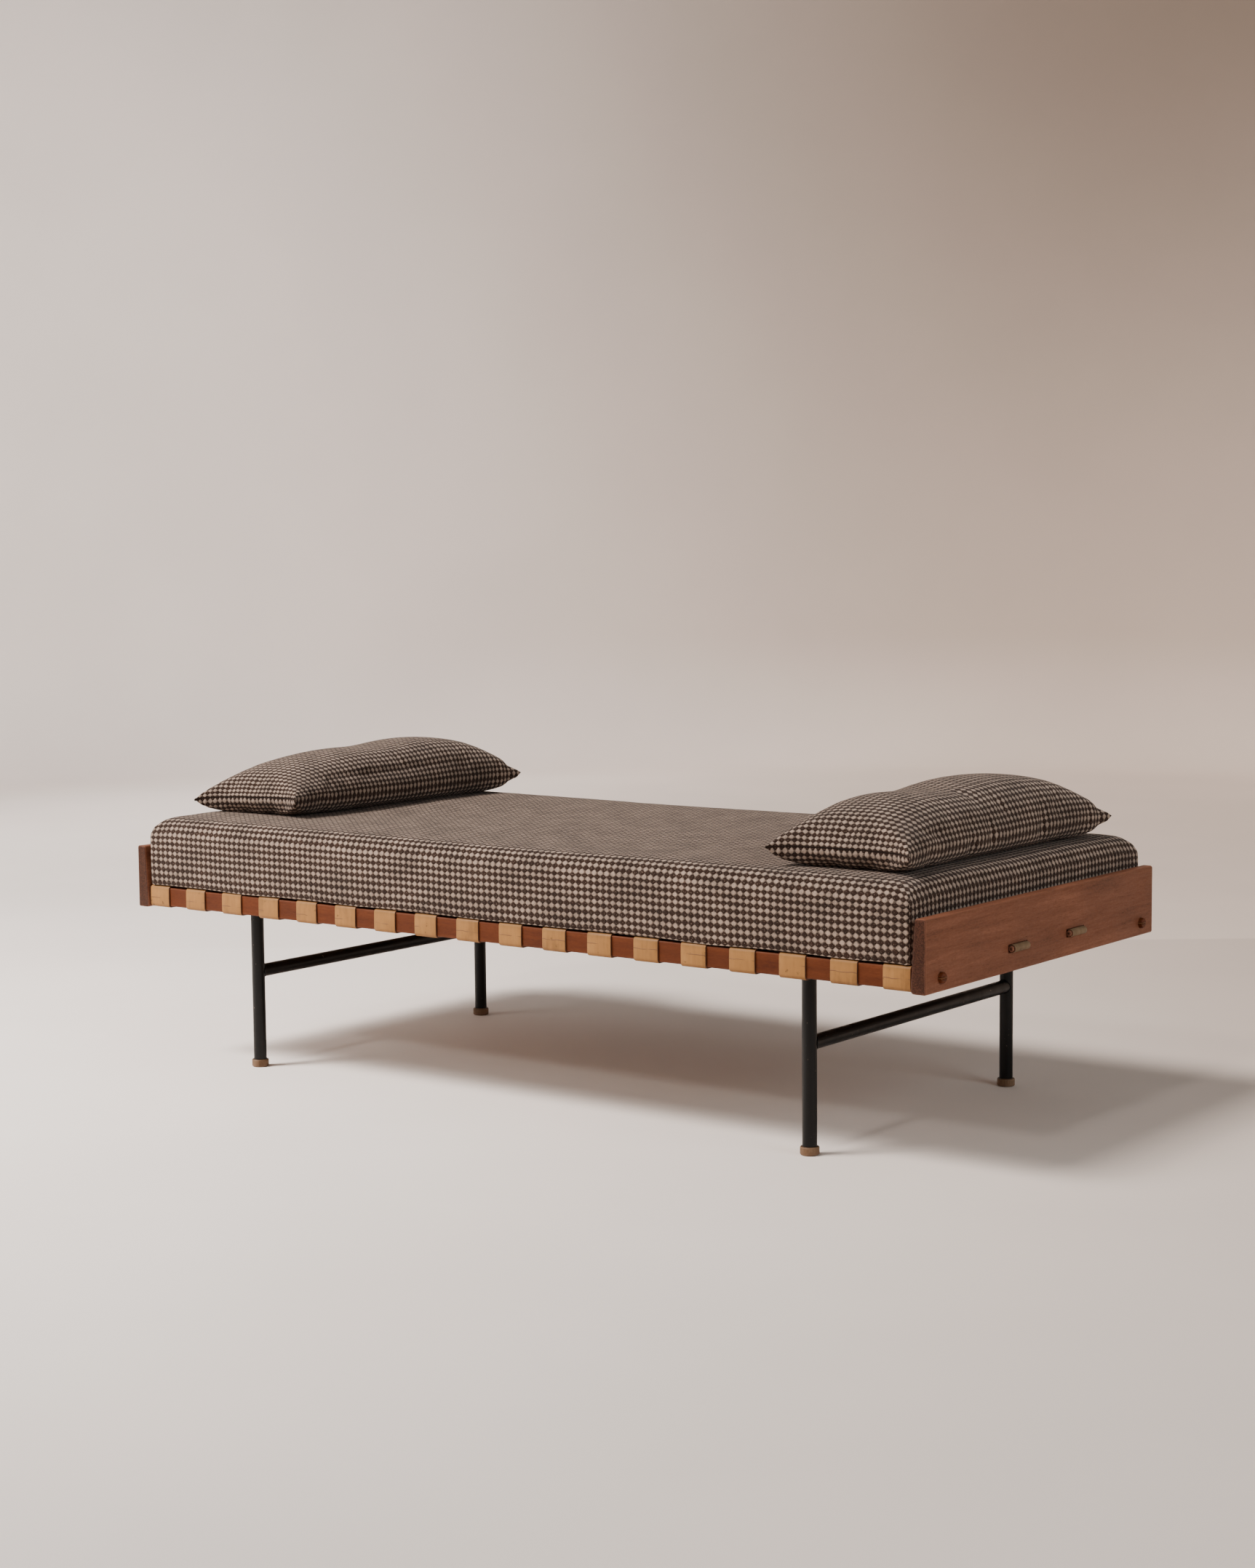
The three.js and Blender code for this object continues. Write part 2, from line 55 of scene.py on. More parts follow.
def add_camera():
    forward = Vector((
        -math.sin(YAW) * math.cos(PITCH),
        math.cos(YAW) * math.cos(PITCH),
        -math.sin(PITCH),
    ))
    right = Vector((math.cos(YAW), math.sin(YAW), 0))
    up = right.cross(forward)
    tilted_right = math.cos(ROLL) * right + math.sin(ROLL) * up
    tilted_up = math.cos(ROLL) * up - math.sin(ROLL) * right
    turn = Matrix((tilted_right, tilted_up, -forward)).transposed()
    camera = bpy.data.objects.new("camera", bpy.data.cameras.new("camera"))
    camera.data.lens = LENS
    camera.matrix_world = Matrix.Translation(EYE) @ turn.to_4x4()
    bpy.context.scene.collection.objects.link(camera)
    bpy.context.scene.camera = camera


add_camera()


# ---------- Node materials ----------
class Finish:
    """A Principled material, with short calls for the nodes that drive it."""

    def __init__(self, name, **fixed):
        self.material = bpy.data.materials.new(name)
        self.material.use_nodes = True
        self.tree = self.material.node_tree
        self.shader = self.tree.nodes["Principled BSDF"]
        for socket, value in fixed.items():
            self.shader.inputs[socket.replace("_", " ")].default_value = value

    def feed(self, socket, value):
        if isinstance(value, bpy.types.NodeSocket):
            self.tree.links.new(value, socket)
        elif value is not None:
            socket.default_value = value

    def make(self, kind, *inputs, out=0, **settings):
        node = self.tree.nodes.new(kind)
        for key, value in settings.items():
            setattr(node, key, value)
        for index, value in enumerate(inputs):
            self.feed(node.inputs[index], value)
        return node.outputs[out]

    def math(self, operation, *inputs):
        return self.make("ShaderNodeMath", *inputs, operation=operation)

    def times(self, first, second):
        return self.math("MULTIPLY", first, second)

    def plus(self, first, second):
        return self.math("ADD", first, second)

    def minus(self, first, second):
        return self.math("SUBTRACT", first, second)

    def size(self, value):
        return self.math("ABSOLUTE", value)

    def vector_math(self, operation, *inputs):
        return self.make("ShaderNodeVectorMath", *inputs, operation=operation)

    def stretch(self, vector, scale):
        return self.vector_math("MULTIPLY", vector, scale)

    def place(self):
        return self.make("ShaderNodeTexCoord", out=3)

    def attribute(self, name):
        return self.make("ShaderNodeAttribute", out=1, attribute_name=name)

    def split(self, vector):
        return tuple(self.make("ShaderNodeSeparateXYZ", vector).node.outputs)

    def join(self, x, y, z):
        return self.make("ShaderNodeCombineXYZ", x, y, z)

    def noise(self, vector, scale, detail=2.0, roughness=0.5, distortion=0.0):
        last = (None, None, None, distortion)
        return self.make("ShaderNodeTexNoise", vector, None, scale, detail, roughness, *last)

    def between(self, value, low, high, *ends):
        """A smooth step from 0 at low to 1 at high, or between two given ends."""
        kind, blend = "ShaderNodeMapRange", "SMOOTHSTEP"
        return self.make(kind, value, low, high, *ends, interpolation_type=blend)

    def mix(self, share, first, second, blend="MIX"):
        node = self.tree.nodes.new("ShaderNodeMix")
        node.data_type = "RGBA"
        node.blend_type = blend
        self.feed(node.inputs[0], share)
        for index, colour in ((6, first), (7, second)):
            value = colour if isinstance(colour, bpy.types.NodeSocket) else (*colour, 1.0)
            self.feed(node.inputs[index], value)
        return node.outputs[2]

    def bump(self, height, distance, strength=1.0):
        return self.make("ShaderNodeBump", strength, distance, None, height)

    def shaded(self, colour, factor):
        """A colour times a grey."""
        return self.mix(1.0, colour, self.join(factor, factor, factor), "MULTIPLY")

    def finish(self, colour, roughness, normal):
        for socket, value in (("Base Color", colour), ("Roughness", roughness), ("Normal", normal)):
            self.feed(self.shader.inputs[socket], value)
        return self.material


CHECK_ACROSS, CHECK_ALONG = 0.0144, 0.01355  # from one light diamond to the next
LIGHT_WOOL = (0.325, 0.24, 0.188)
DARK_WOOL = (0.024, 0.010, 0.0055)


def checked_wool(name):
    """Thick wool woven in a diagonal check, read from each mesh's own cloth coordinates: two
    distances over the cloth, and how far the nearest seam is."""
    f = Finish(name, Sheen_Weight=0.05, Sheen_Roughness=0.5, Specular_IOR_Level=0.12)
    u, v, seam = f.split(f.attribute("cloth"))
    flat = f.join(u, v, 0.0)
    wobble = f.make("ShaderNodeTexNoise", flat, None, 32.0, 2.0, out=1)
    shift = f.stretch(f.vector_math("SUBTRACT", wobble, (0.5, 0.5, 0.5)), (0.0024,) * 3)
    moved_u, moved_v, _ = f.split(f.vector_math("ADD", flat, shift))
    turned_u = f.times(moved_u, 2 * math.pi / CHECK_ACROSS)
    turned_v = f.times(moved_v, 2 * math.pi / CHECK_ALONG)
    across = f.times(f.math("COSINE", turned_u), 0.92)
    along = f.times(f.math("COSINE", turned_v), 1.08)
    check = f.plus(across, along)
    fluff = f.noise(flat, 560.0, 3.0, 0.7)
    fuzz = f.noise(flat, 1500.0, 2.0, 0.6)
    loose = f.times(f.minus(fluff, 0.5), 2.3)
    light = f.between(f.plus(check, loose), -0.42, 0.9)
    ridges_u = f.size(f.math("SINE", f.times(turned_u, 3.0)))
    ridges_v = f.size(f.math("SINE", f.times(turned_v, 3.0)))
    ridges = f.make("ShaderNodeMix", light, None, ridges_v, ridges_u)
    puff = f.math("POWER", f.math("MINIMUM", f.size(check), 1.0), 0.5)
    specks = f.between(f.noise(flat, 420.0, 1.0, 0.5), 0.56, 0.66)
    deep = f.between(check, -0.9, -1.6)
    speck_share = f.times(f.times(specks, deep), 0.3)
    patches = f.plus(f.noise(flat, 14.0, 2.0, 0.5), f.noise(flat, 110.0, 2.0, 0.6))
    uneven = f.plus(fluff, f.times(patches, 0.6))
    shade = f.between(uneven, 0.85, 1.35, 0.62, 1.24)
    # Painted shade: the colour is darkened to 0.8 in the grooves between the weave's ridges.
    groove = f.between(ridges, 0.0, 0.5, 0.8, 1.0)
    # Painted shade: each diamond of the check darkens towards its border, away from the middle of its
    # puff.
    rim = f.between(f.size(f.minus(check, 0.2)), 0.0, 1.1, 0.72, 1.0)
    # Painted shade: the cloth darkens within about 2 mm of a seam, the shade of the seam's groove.
    seam_groove_shade = f.between(seam, 0.0004, 0.0022, 0.38, 1.0)
    # The colour factor: random tone from fluff and patches, times three painted shades, of the weave's
    # grooves, the diamonds' borders and the seams.
    factor = f.times(f.times(shade, groove), f.times(rim, seam_groove_shade))
    base = f.mix(light, f.mix(speck_share, DARK_WOOL, LIGHT_WOOL), LIGHT_WOOL)
    colour = f.shaded(base, factor)
    height = f.plus(puff, f.times(ridges, 0.3))
    height = f.plus(height, f.times(f.plus(fluff, fuzz), 0.5))
    return f.finish(colour, 0.92, f.bump(height, 0.0013, 0.9))


RED_WOOD = ((0.073, 0.024, 0.0115), (0.148, 0.052, 0.0262), (0.227, 0.088, 0.0486))


def plank(name, node, grain, tones=RED_WOOD, gloss=0.46, wear=0.16, end=0.45):
    """Oiled wood with its grain along one axis, end grain across it, and edges worn paler."""
    f = Finish(name, Specular_IOR_Level=0.14)
    place = f.place()
    squeeze = [1.0, 1.0, 1.0]
    squeeze[grain] = 0.055
    stretched = f.stretch(place, tuple(squeeze))
    flow = f.noise(stretched, 9.0, 2.0, 0.5, 0.6)
    bend = f.vector_math("SCALE", f.join(flow, flow, flow), None, None, 0.05)
    bent = f.vector_math("ADD", stretched, bend)
    figure = f.noise(bent, 34.0, 4.0, 0.6)
    streaks = f.noise(bent, 150.0, 3.0, 0.6)
    fibres = f.noise(stretched, 620.0, 3.0, 0.65)
    patches = f.noise(place, 5.0, 2.0, 0.5)
    speckle = f.noise(f.stretch(place, tuple(0.3 + 0.7 * c for c in squeeze)), 420.0, 2.0)
    tone = f.plus(f.times(figure, 0.45), f.times(streaks, 0.25))
    tone = f.plus(tone, f.times(patches, 0.3))
    tone = f.plus(tone, f.times(speckle, 0.22))
    low = f.mix(f.between(tone, 0.42, 0.62), tones[0], tones[1])
    colour = f.mix(f.between(tone, 0.58, 0.82), low, tones[2])
    pores = f.between(fibres, 0.6, 0.7)
    colour = f.mix(f.times(pores, 0.4), colour, tuple(0.45 * c for c in tones[0]))
    facing = f.size(f.split(f.make("ShaderNodeTexCoord", out=1))[grain])
    end_share = f.between(facing, 0.7, 0.92)
    rings = f.between(f.noise(place, 420.0, 3.0, 0.7), 0.35, 0.7)
    end_dark = tuple(0.7 * end * c for c in tones[0])
    end_light = tuple(end * c for c in tones[1])
    colour = f.mix(end_share, colour, f.mix(rings, end_dark, end_light))
    low_corner, high_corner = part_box(node)
    centre, half = (low_corner + high_corner) / 2, (high_corner - low_corner) / 2
    offset = f.vector_math("ABSOLUTE", f.vector_math("SUBTRACT", place, tuple(centre)))
    inside = f.vector_math("SUBTRACT", tuple(half), offset)
    scuff = f.times(f.noise(place, 60.0, 3.0, 0.6), 0.005)
    near = [f.between(f.minus(d, scuff), 0.0018, -0.001) for d in f.split(inside)]
    pairs = [f.times(near[a], near[b]) for a, b in ((0, 1), (1, 2), (0, 2))]
    edge = f.math("MAXIMUM", pairs[0], f.math("MAXIMUM", pairs[1], pairs[2]))
    pale = tuple(min(1.0, 1.25 * c + 0.02) for c in tones[2])
    colour = f.mix(f.times(edge, wear), colour, pale)
    height = f.plus(f.times(fibres, 0.6), f.times(streaks, 0.5))
    rough = f.between(f.plus(fibres, patches), 0.6, 1.5, gloss - 0.06, gloss + 0.16)
    return f.finish(colour, rough, f.bump(height, 0.0004, 0.5))


PALE_WOOD = ((0.08, 0.042, 0.021), (0.135, 0.077, 0.043), (0.19, 0.12, 0.074))
TAN = ((0.207, 0.094, 0.0255), (0.272, 0.126, 0.0347), (0.318, 0.151, 0.045))
EDGE_BROWN = (0.10, 0.045, 0.025)


def strap_leather(name, tones, half_width, crease=0.8, fibrous=0.0):
    """Smooth strap leather: cut edges dark, fine creases and stains. Strap coordinates are
    across, along and a number for each strap."""
    f = Finish(name, Specular_IOR_Level=0.25)
    across, along, which = f.split(f.attribute("strap"))
    moved = f.join(across, along, f.times(which, 0.37))
    blotches = f.noise(moved, 22.0, 3.0, 0.55)
    streaks = f.noise(f.stretch(moved, (2.2, 0.35, 1.0)), 60.0, 3.0, 0.6)
    pebble = f.noise(moved, 700.0, 3.0, 0.6)
    tone = f.plus(f.times(blotches, 0.6), f.times(streaks, 0.4))
    colour = f.mix(f.between(tone, 0.34, 0.5), tones[0], tones[1])
    colour = f.mix(f.between(tone, 0.48, 0.68), colour, tones[2])
    # Darker beyond 16 to 34 mm along either way from where the strap's measure is nought; on a cross strap
    # that is everywhere but the rail's front face.
    worn = f.between(f.plus(f.size(along), f.times(blotches, 0.012)), 0.016, 0.034)
    colour = f.mix(f.times(worn, 0.45), colour, tuple(0.45 * c for c in tones[0]))
    marks = f.noise(f.vector_math("ADD", moved, (0.31, 0.17, 0.0)), 75.0, 2.0, 0.6)
    stain = f.times(f.between(marks, 0.66, 0.75), 0.6)
    colour = f.mix(stain, colour, tuple(0.3 * c for c in tones[0]))
    wander = f.times(f.minus(f.noise(moved, 40.0, 2.0), 0.5), 0.006)
    middle = f.times(f.math("SINE", f.times(which, 12.9)), 0.004)
    line = f.minus(f.plus(along, wander), middle)
    folded = f.math("WRAP", line, 0.5, -0.5)
    gate = f.noise(f.stretch(moved, (0.8, 0.02, 1.0)), 35.0, 1.0)
    thin = f.between(f.size(folded), 0.0010, 0.0001)
    thin = f.times(thin, f.between(gate, 0.38, 0.52))
    colour = f.mix(f.times(thin, crease), colour, EDGE_BROWN)
    cut = f.between(f.size(across), half_width - 0.0011, half_width - 0.0004)
    colour = f.mix(cut, colour, EDGE_BROWN)
    height = f.minus(f.times(pebble, 0.35), f.times(thin, 1.2))
    if fibrous:
        threads = f.noise(f.stretch(moved, (1.0, 0.06, 1.0)), 900.0, 3.0, 0.7)
        height = f.plus(height, f.times(threads, fibrous))
        colour = f.mix(f.between(threads, 0.5, 0.75), colour, tones[2])
    rough = f.between(blotches, 0.3, 0.7, 0.52, 0.68)
    return f.finish(colour, rough, f.bump(height, 0.0004, 0.6))


def black_paint(name):
    f = Finish(name, Specular_IOR_Level=0.22)
    place = f.place()
    haze = f.noise(f.stretch(place, (1.0, 1.0, 0.25)), 45.0, 4.0, 0.6)
    peel = f.noise(place, 480.0, 2.0, 0.5)
    chips = f.between(f.noise(place, 130.0, 3.0, 0.62), 0.7, 0.735)
    colour = f.mix(f.between(haze, 0.35, 0.7), (0.0014, 0.0014, 0.0014), (0.0035, 0.0032, 0.0029))
    colour = f.mix(f.times(chips, 0.8), colour, (0.17, 0.13, 0.10))
    rough = f.between(haze, 0.3, 0.75, 0.3, 0.5)
    height = f.minus(f.times(peel, 0.3), chips)
    return f.finish(colour, rough, f.bump(height, 0.00025, 0.5))


def bare_metal(name, tint):
    f = Finish(name, Metallic=1.0)
    place = f.place()
    scratches = f.noise(f.stretch(place, (1.0, 0.2, 1.0)), 900.0, 3.0, 0.6)
    colour = f.mix(f.between(scratches, 0.35, 0.7), tuple(0.6 * c for c in tint), tint)
    rough = f.between(scratches, 0.3, 0.7, 0.28, 0.5)
    return f.finish(colour, rough, f.bump(scratches, 0.0001, 0.4))


def thread(name, tint):
    f = Finish(name, Specular_IOR_Level=0.1)
    twist = f.noise(f.place(), 1600.0, 2.0, 0.5)
    colour = f.mix(f.between(twist, 0.3, 0.7), tuple(0.6 * c for c in tint), tint)
    return f.finish(colour, 0.9, f.bump(twist, 0.0003, 0.6))


# ---------- Mesh helpers ----------
def add_piece(name, vertices, faces, material, smooth=True):
    mesh = bpy.data.meshes.new(name)
    mesh.from_pydata([tuple(map(float, v)) for v in vertices], [], faces)
    mesh.materials.append(material)
    mesh.polygons.foreach_set("use_smooth", [smooth] * len(mesh.polygons))
    piece = bpy.data.objects.new(name, mesh)
    bpy.context.scene.collection.objects.link(piece)
    return piece


def set_vectors(piece, name, values, domain):
    data = piece.data.attributes.new(name, "FLOAT_VECTOR", domain)
    data.data.foreach_set("vector", np.asarray(values, np.float32).ravel())


def points_of(mesh):
    co = np.zeros(len(mesh.vertices) * 3)
    mesh.vertices.foreach_get("co", co)
    return co.reshape(-1, 3)


def move_points(mesh, co):
    mesh.vertices.foreach_set("co", np.asarray(co, np.float32).ravel())
    mesh.update()


def run_along(path):
    """How far along a line of points each of them is."""
    return np.concatenate([[0], np.cumsum(np.linalg.norm(np.diff(path, axis=0), axis=1))])


def directions(path):
    ahead = np.gradient(path, axis=0)
    return ahead / np.linalg.norm(ahead, axis=1, keepdims=True)


def bands(sides, rings, first=0, closed=False):
    """Quads from each ring of points to the next; closed joins the last ring to the first."""
    faces = []
    for ring in range(rings if closed else rings - 1):
        here, there = first + ring * sides, first + (ring + 1) % rings * sides
        for k in range(sides):
            beside = (k + 1) % sides
            faces.append((here + k, here + beside, there + beside, there + k))
    return faces


def end_caps(sides, rings):
    return [tuple(range(sides))[::-1], tuple(range((rings - 1) * sides, rings * sides))]


def flipped(faces):
    return [face[::-1] for face in faces]


def apply_modifiers(piece):
    graph = bpy.context.evaluated_depsgraph_get()
    mesh = bpy.data.meshes.new_from_object(piece.evaluated_get(graph))
    piece.modifiers.clear()
    old = piece.data
    piece.data = mesh
    bpy.data.meshes.remove(old)


def subdivide(piece):
    modifier = piece.modifiers.new("finer", "SUBSURF")
    modifier.levels = modifier.render_levels = 1
    apply_modifiers(piece)


def puff_up(piece, pressure, frames, cap, stiffness, bending, rest=None):
    """Cloth under inner pressure, with no gravity; no point moves further than cap. rest is
    the shape the cloth was cut to."""
    before = points_of(piece.data)
    modifier = piece.modifiers.new("cloth", "CLOTH")
    cloth = modifier.settings
    cloth.quality = 6
    cloth.mass = 0.0005
    cloth.air_damping = 4.0
    cloth.tension_stiffness = stiffness
    cloth.compression_stiffness = stiffness / 2
    cloth.shear_stiffness = stiffness / 3
    cloth.bending_stiffness = bending
    cloth.use_pressure = True
    cloth.uniform_pressure_force = pressure
    cloth.effector_weights.gravity = 0.0
    modifier.collision_settings.use_collision = False
    modifier.point_cache.frame_end = frames
    if rest is not None:
        piece.shape_key_add(name="Basis")
        key = piece.shape_key_add(name="cut")
        key.data.foreach_set("co", np.asarray(rest, np.float32).ravel())
        key.value = 0.0
        cloth.rest_shape_key = key
    scene = bpy.context.scene
    for number in range(1, frames + 1):
        scene.frame_set(number)
    graph = bpy.context.evaluated_depsgraph_get()
    after = points_of(piece.evaluated_get(graph).data)
    piece.modifiers.clear()
    if rest is not None:
        piece.shape_key_clear()
    scene.frame_set(1)
    move = after - before
    far = np.linalg.norm(move, axis=1, keepdims=True)
    move *= np.minimum(1.0, cap / np.maximum(far, 1e-9))
    move_points(piece.data, before + move)


def sweep_tube(name, path, radius, material, sides=8, closed=False):
    """A round cord of one radius, or a radius for each point, along a list of points."""
    path = np.asarray(path, float)
    count = len(path)
    radii = np.broadcast_to(radius, (count,))
    looped = np.concatenate([path[-1:], path, path[:1]])
    ahead = directions(looped)[1:-1] if closed else directions(path)
    side = np.cross(ahead[0], (0.3, 0.2, 0.9))
    vertices = []
    for i in range(count):
        side = side - ahead[i] * (side @ ahead[i])
        side /= np.linalg.norm(side)
        other = np.cross(ahead[i], side)
        for k in range(sides):
            angle = 2 * math.pi * k / sides
            vertices.append(path[i] + radii[i] * (math.cos(angle) * side + math.sin(angle) * other))
    faces = bands(sides, count, closed=closed)
    return add_piece(name, vertices, faces if closed else faces + end_caps(sides, count), material)


# ---------- Frame: the CAD's own pieces, with rounded arrises and their finishes ----------
def dress(node, material, bevel=0.0):
    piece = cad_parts[node]
    piece.data.materials.clear()
    piece.data.materials.append(material)
    piece.data.polygons.foreach_set("use_smooth", [True] * len(piece.data.polygons))
    weld = piece.modifiers.new("weld", "WELD")
    weld.merge_threshold = 2e-5
    if bevel:
        cut = piece.modifiers.new("arris", "BEVEL")
        cut.width = bevel
        cut.segments = 2
        cut.limit_method = "ANGLE"
        cut.angle_limit = math.radians(40)
        cut.miter_outer = "MITER_ARC"
    even = piece.modifiers.new("normals", "WEIGHTED_NORMAL")
    even.keep_sharp = True
    even.weight = 80


ALONG_X, ALONG_Y, ALONG_Z = 0, 1, 2
SIDES = ("left", "right")
FLANKS = ("front", "back")
SIGN = {"left": -1, "right": 1, "front": -1, "back": 1}
steel = black_paint("black_paint")
zinc = bare_metal("zinc", (0.33, 0.33, 0.33))
WEDGE_WOOD = ((0.10, 0.04, 0.015), (0.17, 0.07, 0.028), (0.23, 0.10, 0.045))
wedge_wood = plank("wedge_wood", "tenon_wedge_front_right", ALONG_X, WEDGE_WOOD, 0.5, 0.1, 0.9)
turned = plank("turned_wood", "foot_front_right", ALONG_Z, PALE_WOOD, 0.5, 0.2)
RAIL_WOOD = ((0.048, 0.0095, 0.0018), (0.083, 0.0185, 0.0036), (0.12, 0.031, 0.0075))

for side in SIDES:
    dress(f"end_board_{side}", plank(f"wood_board_{side}", f"end_board_{side}", ALONG_Y), 0.0006)
    dress(f"stretcher_{side}", steel)
for flank in FLANKS:
    rail = f"side_rail_{flank}"
    dress(rail, plank(f"wood_rail_{flank}", rail, ALONG_X, RAIL_WOOD, end=1.4))
    for side in SIDES:
        corner = f"{flank}_{side}"
        dress(f"tenon_wedge_{corner}", wedge_wood)
        dowel = f"strap_dowel_{corner}"
        dress(dowel, plank(f"wood_{dowel}", dowel, ALONG_Y, RED_WOOD, 0.5, 0.4))
        dress(f"leg_tube_{corner}", steel)
        dress(f"leg_plate_{corner}", steel, 0.0008)
        dress(f"foot_{corner}", turned)
        for label in ("a", "b"):
            dress(f"plate_screw_{corner}_{label}", zinc)


# ---------- Straps ----------
STRAP_WIDTH, STRAP_THICK = 0.056, 0.0026
LONG_THICK = 0.0018
tan_strap = strap_leather("strap_leather", TAN, STRAP_WIDTH / 2, crease=0.95)
WORN = ((0.13, 0.075, 0.036), (0.195, 0.12, 0.062), (0.26, 0.17, 0.095))
worn_strap = strap_leather("worn_strap_leather", WORN, STRAP_WIDTH / 2, crease=0.4, fibrous=0.6)


def smooth_line(corners, radii, step=0.0012, straight=0.02):
    """Points along a line whose inner corners are rounded with the given radii: about step
    apart on a bend, and at most straight apart elsewhere."""
    corners = [np.array(c, float) for c in corners]
    line = [corners[0]]
    for before, corner, after, radius in zip(corners, corners[1:], corners[2:], radii, strict=False):
        into = (before - corner) / np.linalg.norm(before - corner)
        out = (after - corner) / np.linalg.norm(after - corner)
        half = math.acos(max(-1.0, min(1.0, into @ out))) / 2
        reach = radius / math.tan(half)
        centre = corner + (into + out) / np.linalg.norm(into + out) * radius / math.sin(half)
        start, end = corner + into * reach - centre, corner + out * reach - centre
        sweep = math.pi - 2 * half
        count = max(3, int(radius * sweep / step))
        for k in range(count + 1):
            share = k / count
            angle = sweep * share
            point = (start * math.sin(sweep - angle) + end * math.sin(angle)) / math.sin(sweep)
            line.append(centre + point)
    line.append(corners[-1])
    full = [line[0]]
    for start, end in zip(line, line[1:]):
        count = max(1, math.ceil(np.linalg.norm(end - start) / straight))
        full += [start + (end - start) * k / count for k in range(1, count + 1)]
    return np.array(full)


def strap_mesh(name, line, width, thick, zero, which, material, axis, shift=0.0):
    """A flat strap with rounded edges. line is in (axis, Z); width runs across the other axis.
    zero is the place along the line where the strap's own measure is nought."""
    along = run_along(line) - zero
    ahead = directions(line)
    out = np.stack([-ahead[:, 1], ahead[:, 0]], 1)
    half, edge = width / 2, thick * 0.35
    nose = 0.3 * edge
    top = [(a, thick / 2) for a in (-half + edge, -half / 2, 0, half / 2, half - edge)]
    right = [(half - nose, thick / 2 - nose), (half, 0.0), (half - nose, nose - thick / 2)]
    section = [*top, *right, *((-a, -t) for a, t in top + right)]
    vertices, coordinates = [], []
    for i, point in enumerate(line):
        for a, t in section:
            place = point + out[i] * t
            if axis == ALONG_Y:
                vertices.append((a + shift, place[0], place[1]))
            else:
                vertices.append((place[0], a + shift, place[1]))
            coordinates.append((a, along[i], which))
    faces = bands(len(section), len(line)) + end_caps(len(section), len(line))
    piece = add_piece(name, vertices, faces if axis == ALONG_X else flipped(faces), material)
    set_vectors(piece, "strap", coordinates, "POINT")
    return piece


rail_low, rail_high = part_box("side_rail_front")
RAIL_TOP, RAIL_BOTTOM, RAIL_OUT = rail_high.z, rail_low.z, -rail_low.y
LONG_Y, LONG_Z = 0.109, RAIL_TOP - LONG_THICK  # where the middles of the two long straps run
TAIL_Y = 0.386  # where the cross straps end under the rails


def cross_strap(index):
    """Over both rails, round them and under; it dips beneath one of the long straps."""
    node = f"cross_strap_{index + 1:02d}"
    low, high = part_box(node)
    lift = STRAP_THICK / 2 + 0.0003
    outer = RAIL_OUT + lift
    top, bottom = RAIL_TOP + lift, RAIL_BOTTOM - lift
    dip_side = 1 if index % 2 else -1
    dip_z = LONG_Z - LONG_THICK - STRAP_THICK / 2 - 0.0004
    half = STRAP_WIDTH / 2 + 0.006
    dip = [
        (dip_side * LONG_Y + y, z)
        for y, z in ((-half - 0.05, top), (-half, dip_z), (half, dip_z), (half + 0.05, top))
    ]
    slack = 0.0001 + 0.0005 * rng.random()
    corners = [(-TAIL_Y, bottom), (-outer - slack / 2, bottom - slack / 2), (-outer, top), *dip]
    corners += [(outer, top), (outer + slack / 2, bottom - slack / 2), (TAIL_Y, bottom)]
    radii = [0.0062, 0.0052, 0.03, 0.03, 0.03, 0.03, 0.0052, 0.0062]
    line = smooth_line(corners, radii)[::-1]
    face = (np.abs(line[:, 0]) > outer - 0.003) & (line[:, 0] < 0)
    zero = run_along(line)[face].mean()
    middle = (low.x + high.x) / 2
    piece = strap_mesh(
        f"strap_cross_{index + 1:02d}", line, STRAP_WIDTH, STRAP_THICK, zero,
        float(index + 1), tan_strap, ALONG_Y, middle,
    )
    co = points_of(piece.data)
    lean = 0.006 * (rng.random() - 0.5)
    sway = 0.0012 * (rng.random() - 0.5)
    on_face = np.clip((np.abs(co[:, 1]) - 0.40) / 0.02, 0, 1)
    co[:, 0] += sway + lean * (co[:, 2] - RAIL_TOP) * on_face
    bulge = np.sin(np.clip((co[:, 2] - RAIL_BOTTOM) / (RAIL_TOP - RAIL_BOTTOM), 0, 1) * math.pi)
    cupped = 1 - ((co[:, 0] - middle) / (STRAP_WIDTH / 2)) ** 2
    co[:, 1] += np.sign(co[:, 1]) * on_face * 0.0006 * bulge * (0.5 + 0.5 * cupped)
    move_points(piece.data, co)
    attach(piece, "frame")
    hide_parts(node)
    return middle


strap_middles = [cross_strap(index) for index in range(18)]


def long_strap(flank):
    node = f"long_strap_{flank}"
    low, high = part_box(node)
    centre_y = (low.y + high.y) / 2
    dowel_low, dowel_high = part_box(f"strap_dowel_{flank}_right")
    hub = np.array([(dowel_low.x + dowel_high.x) / 2, (dowel_low.z + dowel_high.z) / 2])
    radius = (dowel_high.z - dowel_low.z) / 2 + 0.0004 + LONG_THICK / 2
    start = math.asin(min(0.9, (LONG_THICK / 2 + 0.0001) / radius))
    angles = np.linspace(math.pi - start, -math.pi + start, 30)
    ring = hub + radius * np.stack([np.cos(angles), np.sin(angles)], 1)
    inner = hub[0] - radius - 0.1
    flat_x = np.linspace(-hub[0] + radius + 0.01, hub[0] - radius - 0.01, 90)
    upper, lower = LONG_THICK / 2 + 0.0001, -LONG_THICK / 2 - 0.0001
    tail = [(x, hub[1] + lower) for x in (hub[0] - radius - 0.006, inner + 0.05, inner)]
    line = [(x, hub[1] + upper) for x in flat_x] + [tuple(p) for p in ring] + tail
    mirrored = [(-x, z) for x, z in line[len(flat_x):]]
    line = mirrored[::-1] + line
    piece = strap_mesh(
        f"strap_long_{flank}", np.array(line), STRAP_WIDTH, LONG_THICK, 0.0,
        3.0 + SIGN[flank], worn_strap, ALONG_X, centre_y,
    )
    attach(piece, "frame")
    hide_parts(node)


for flank in FLANKS:
    long_strap(flank)


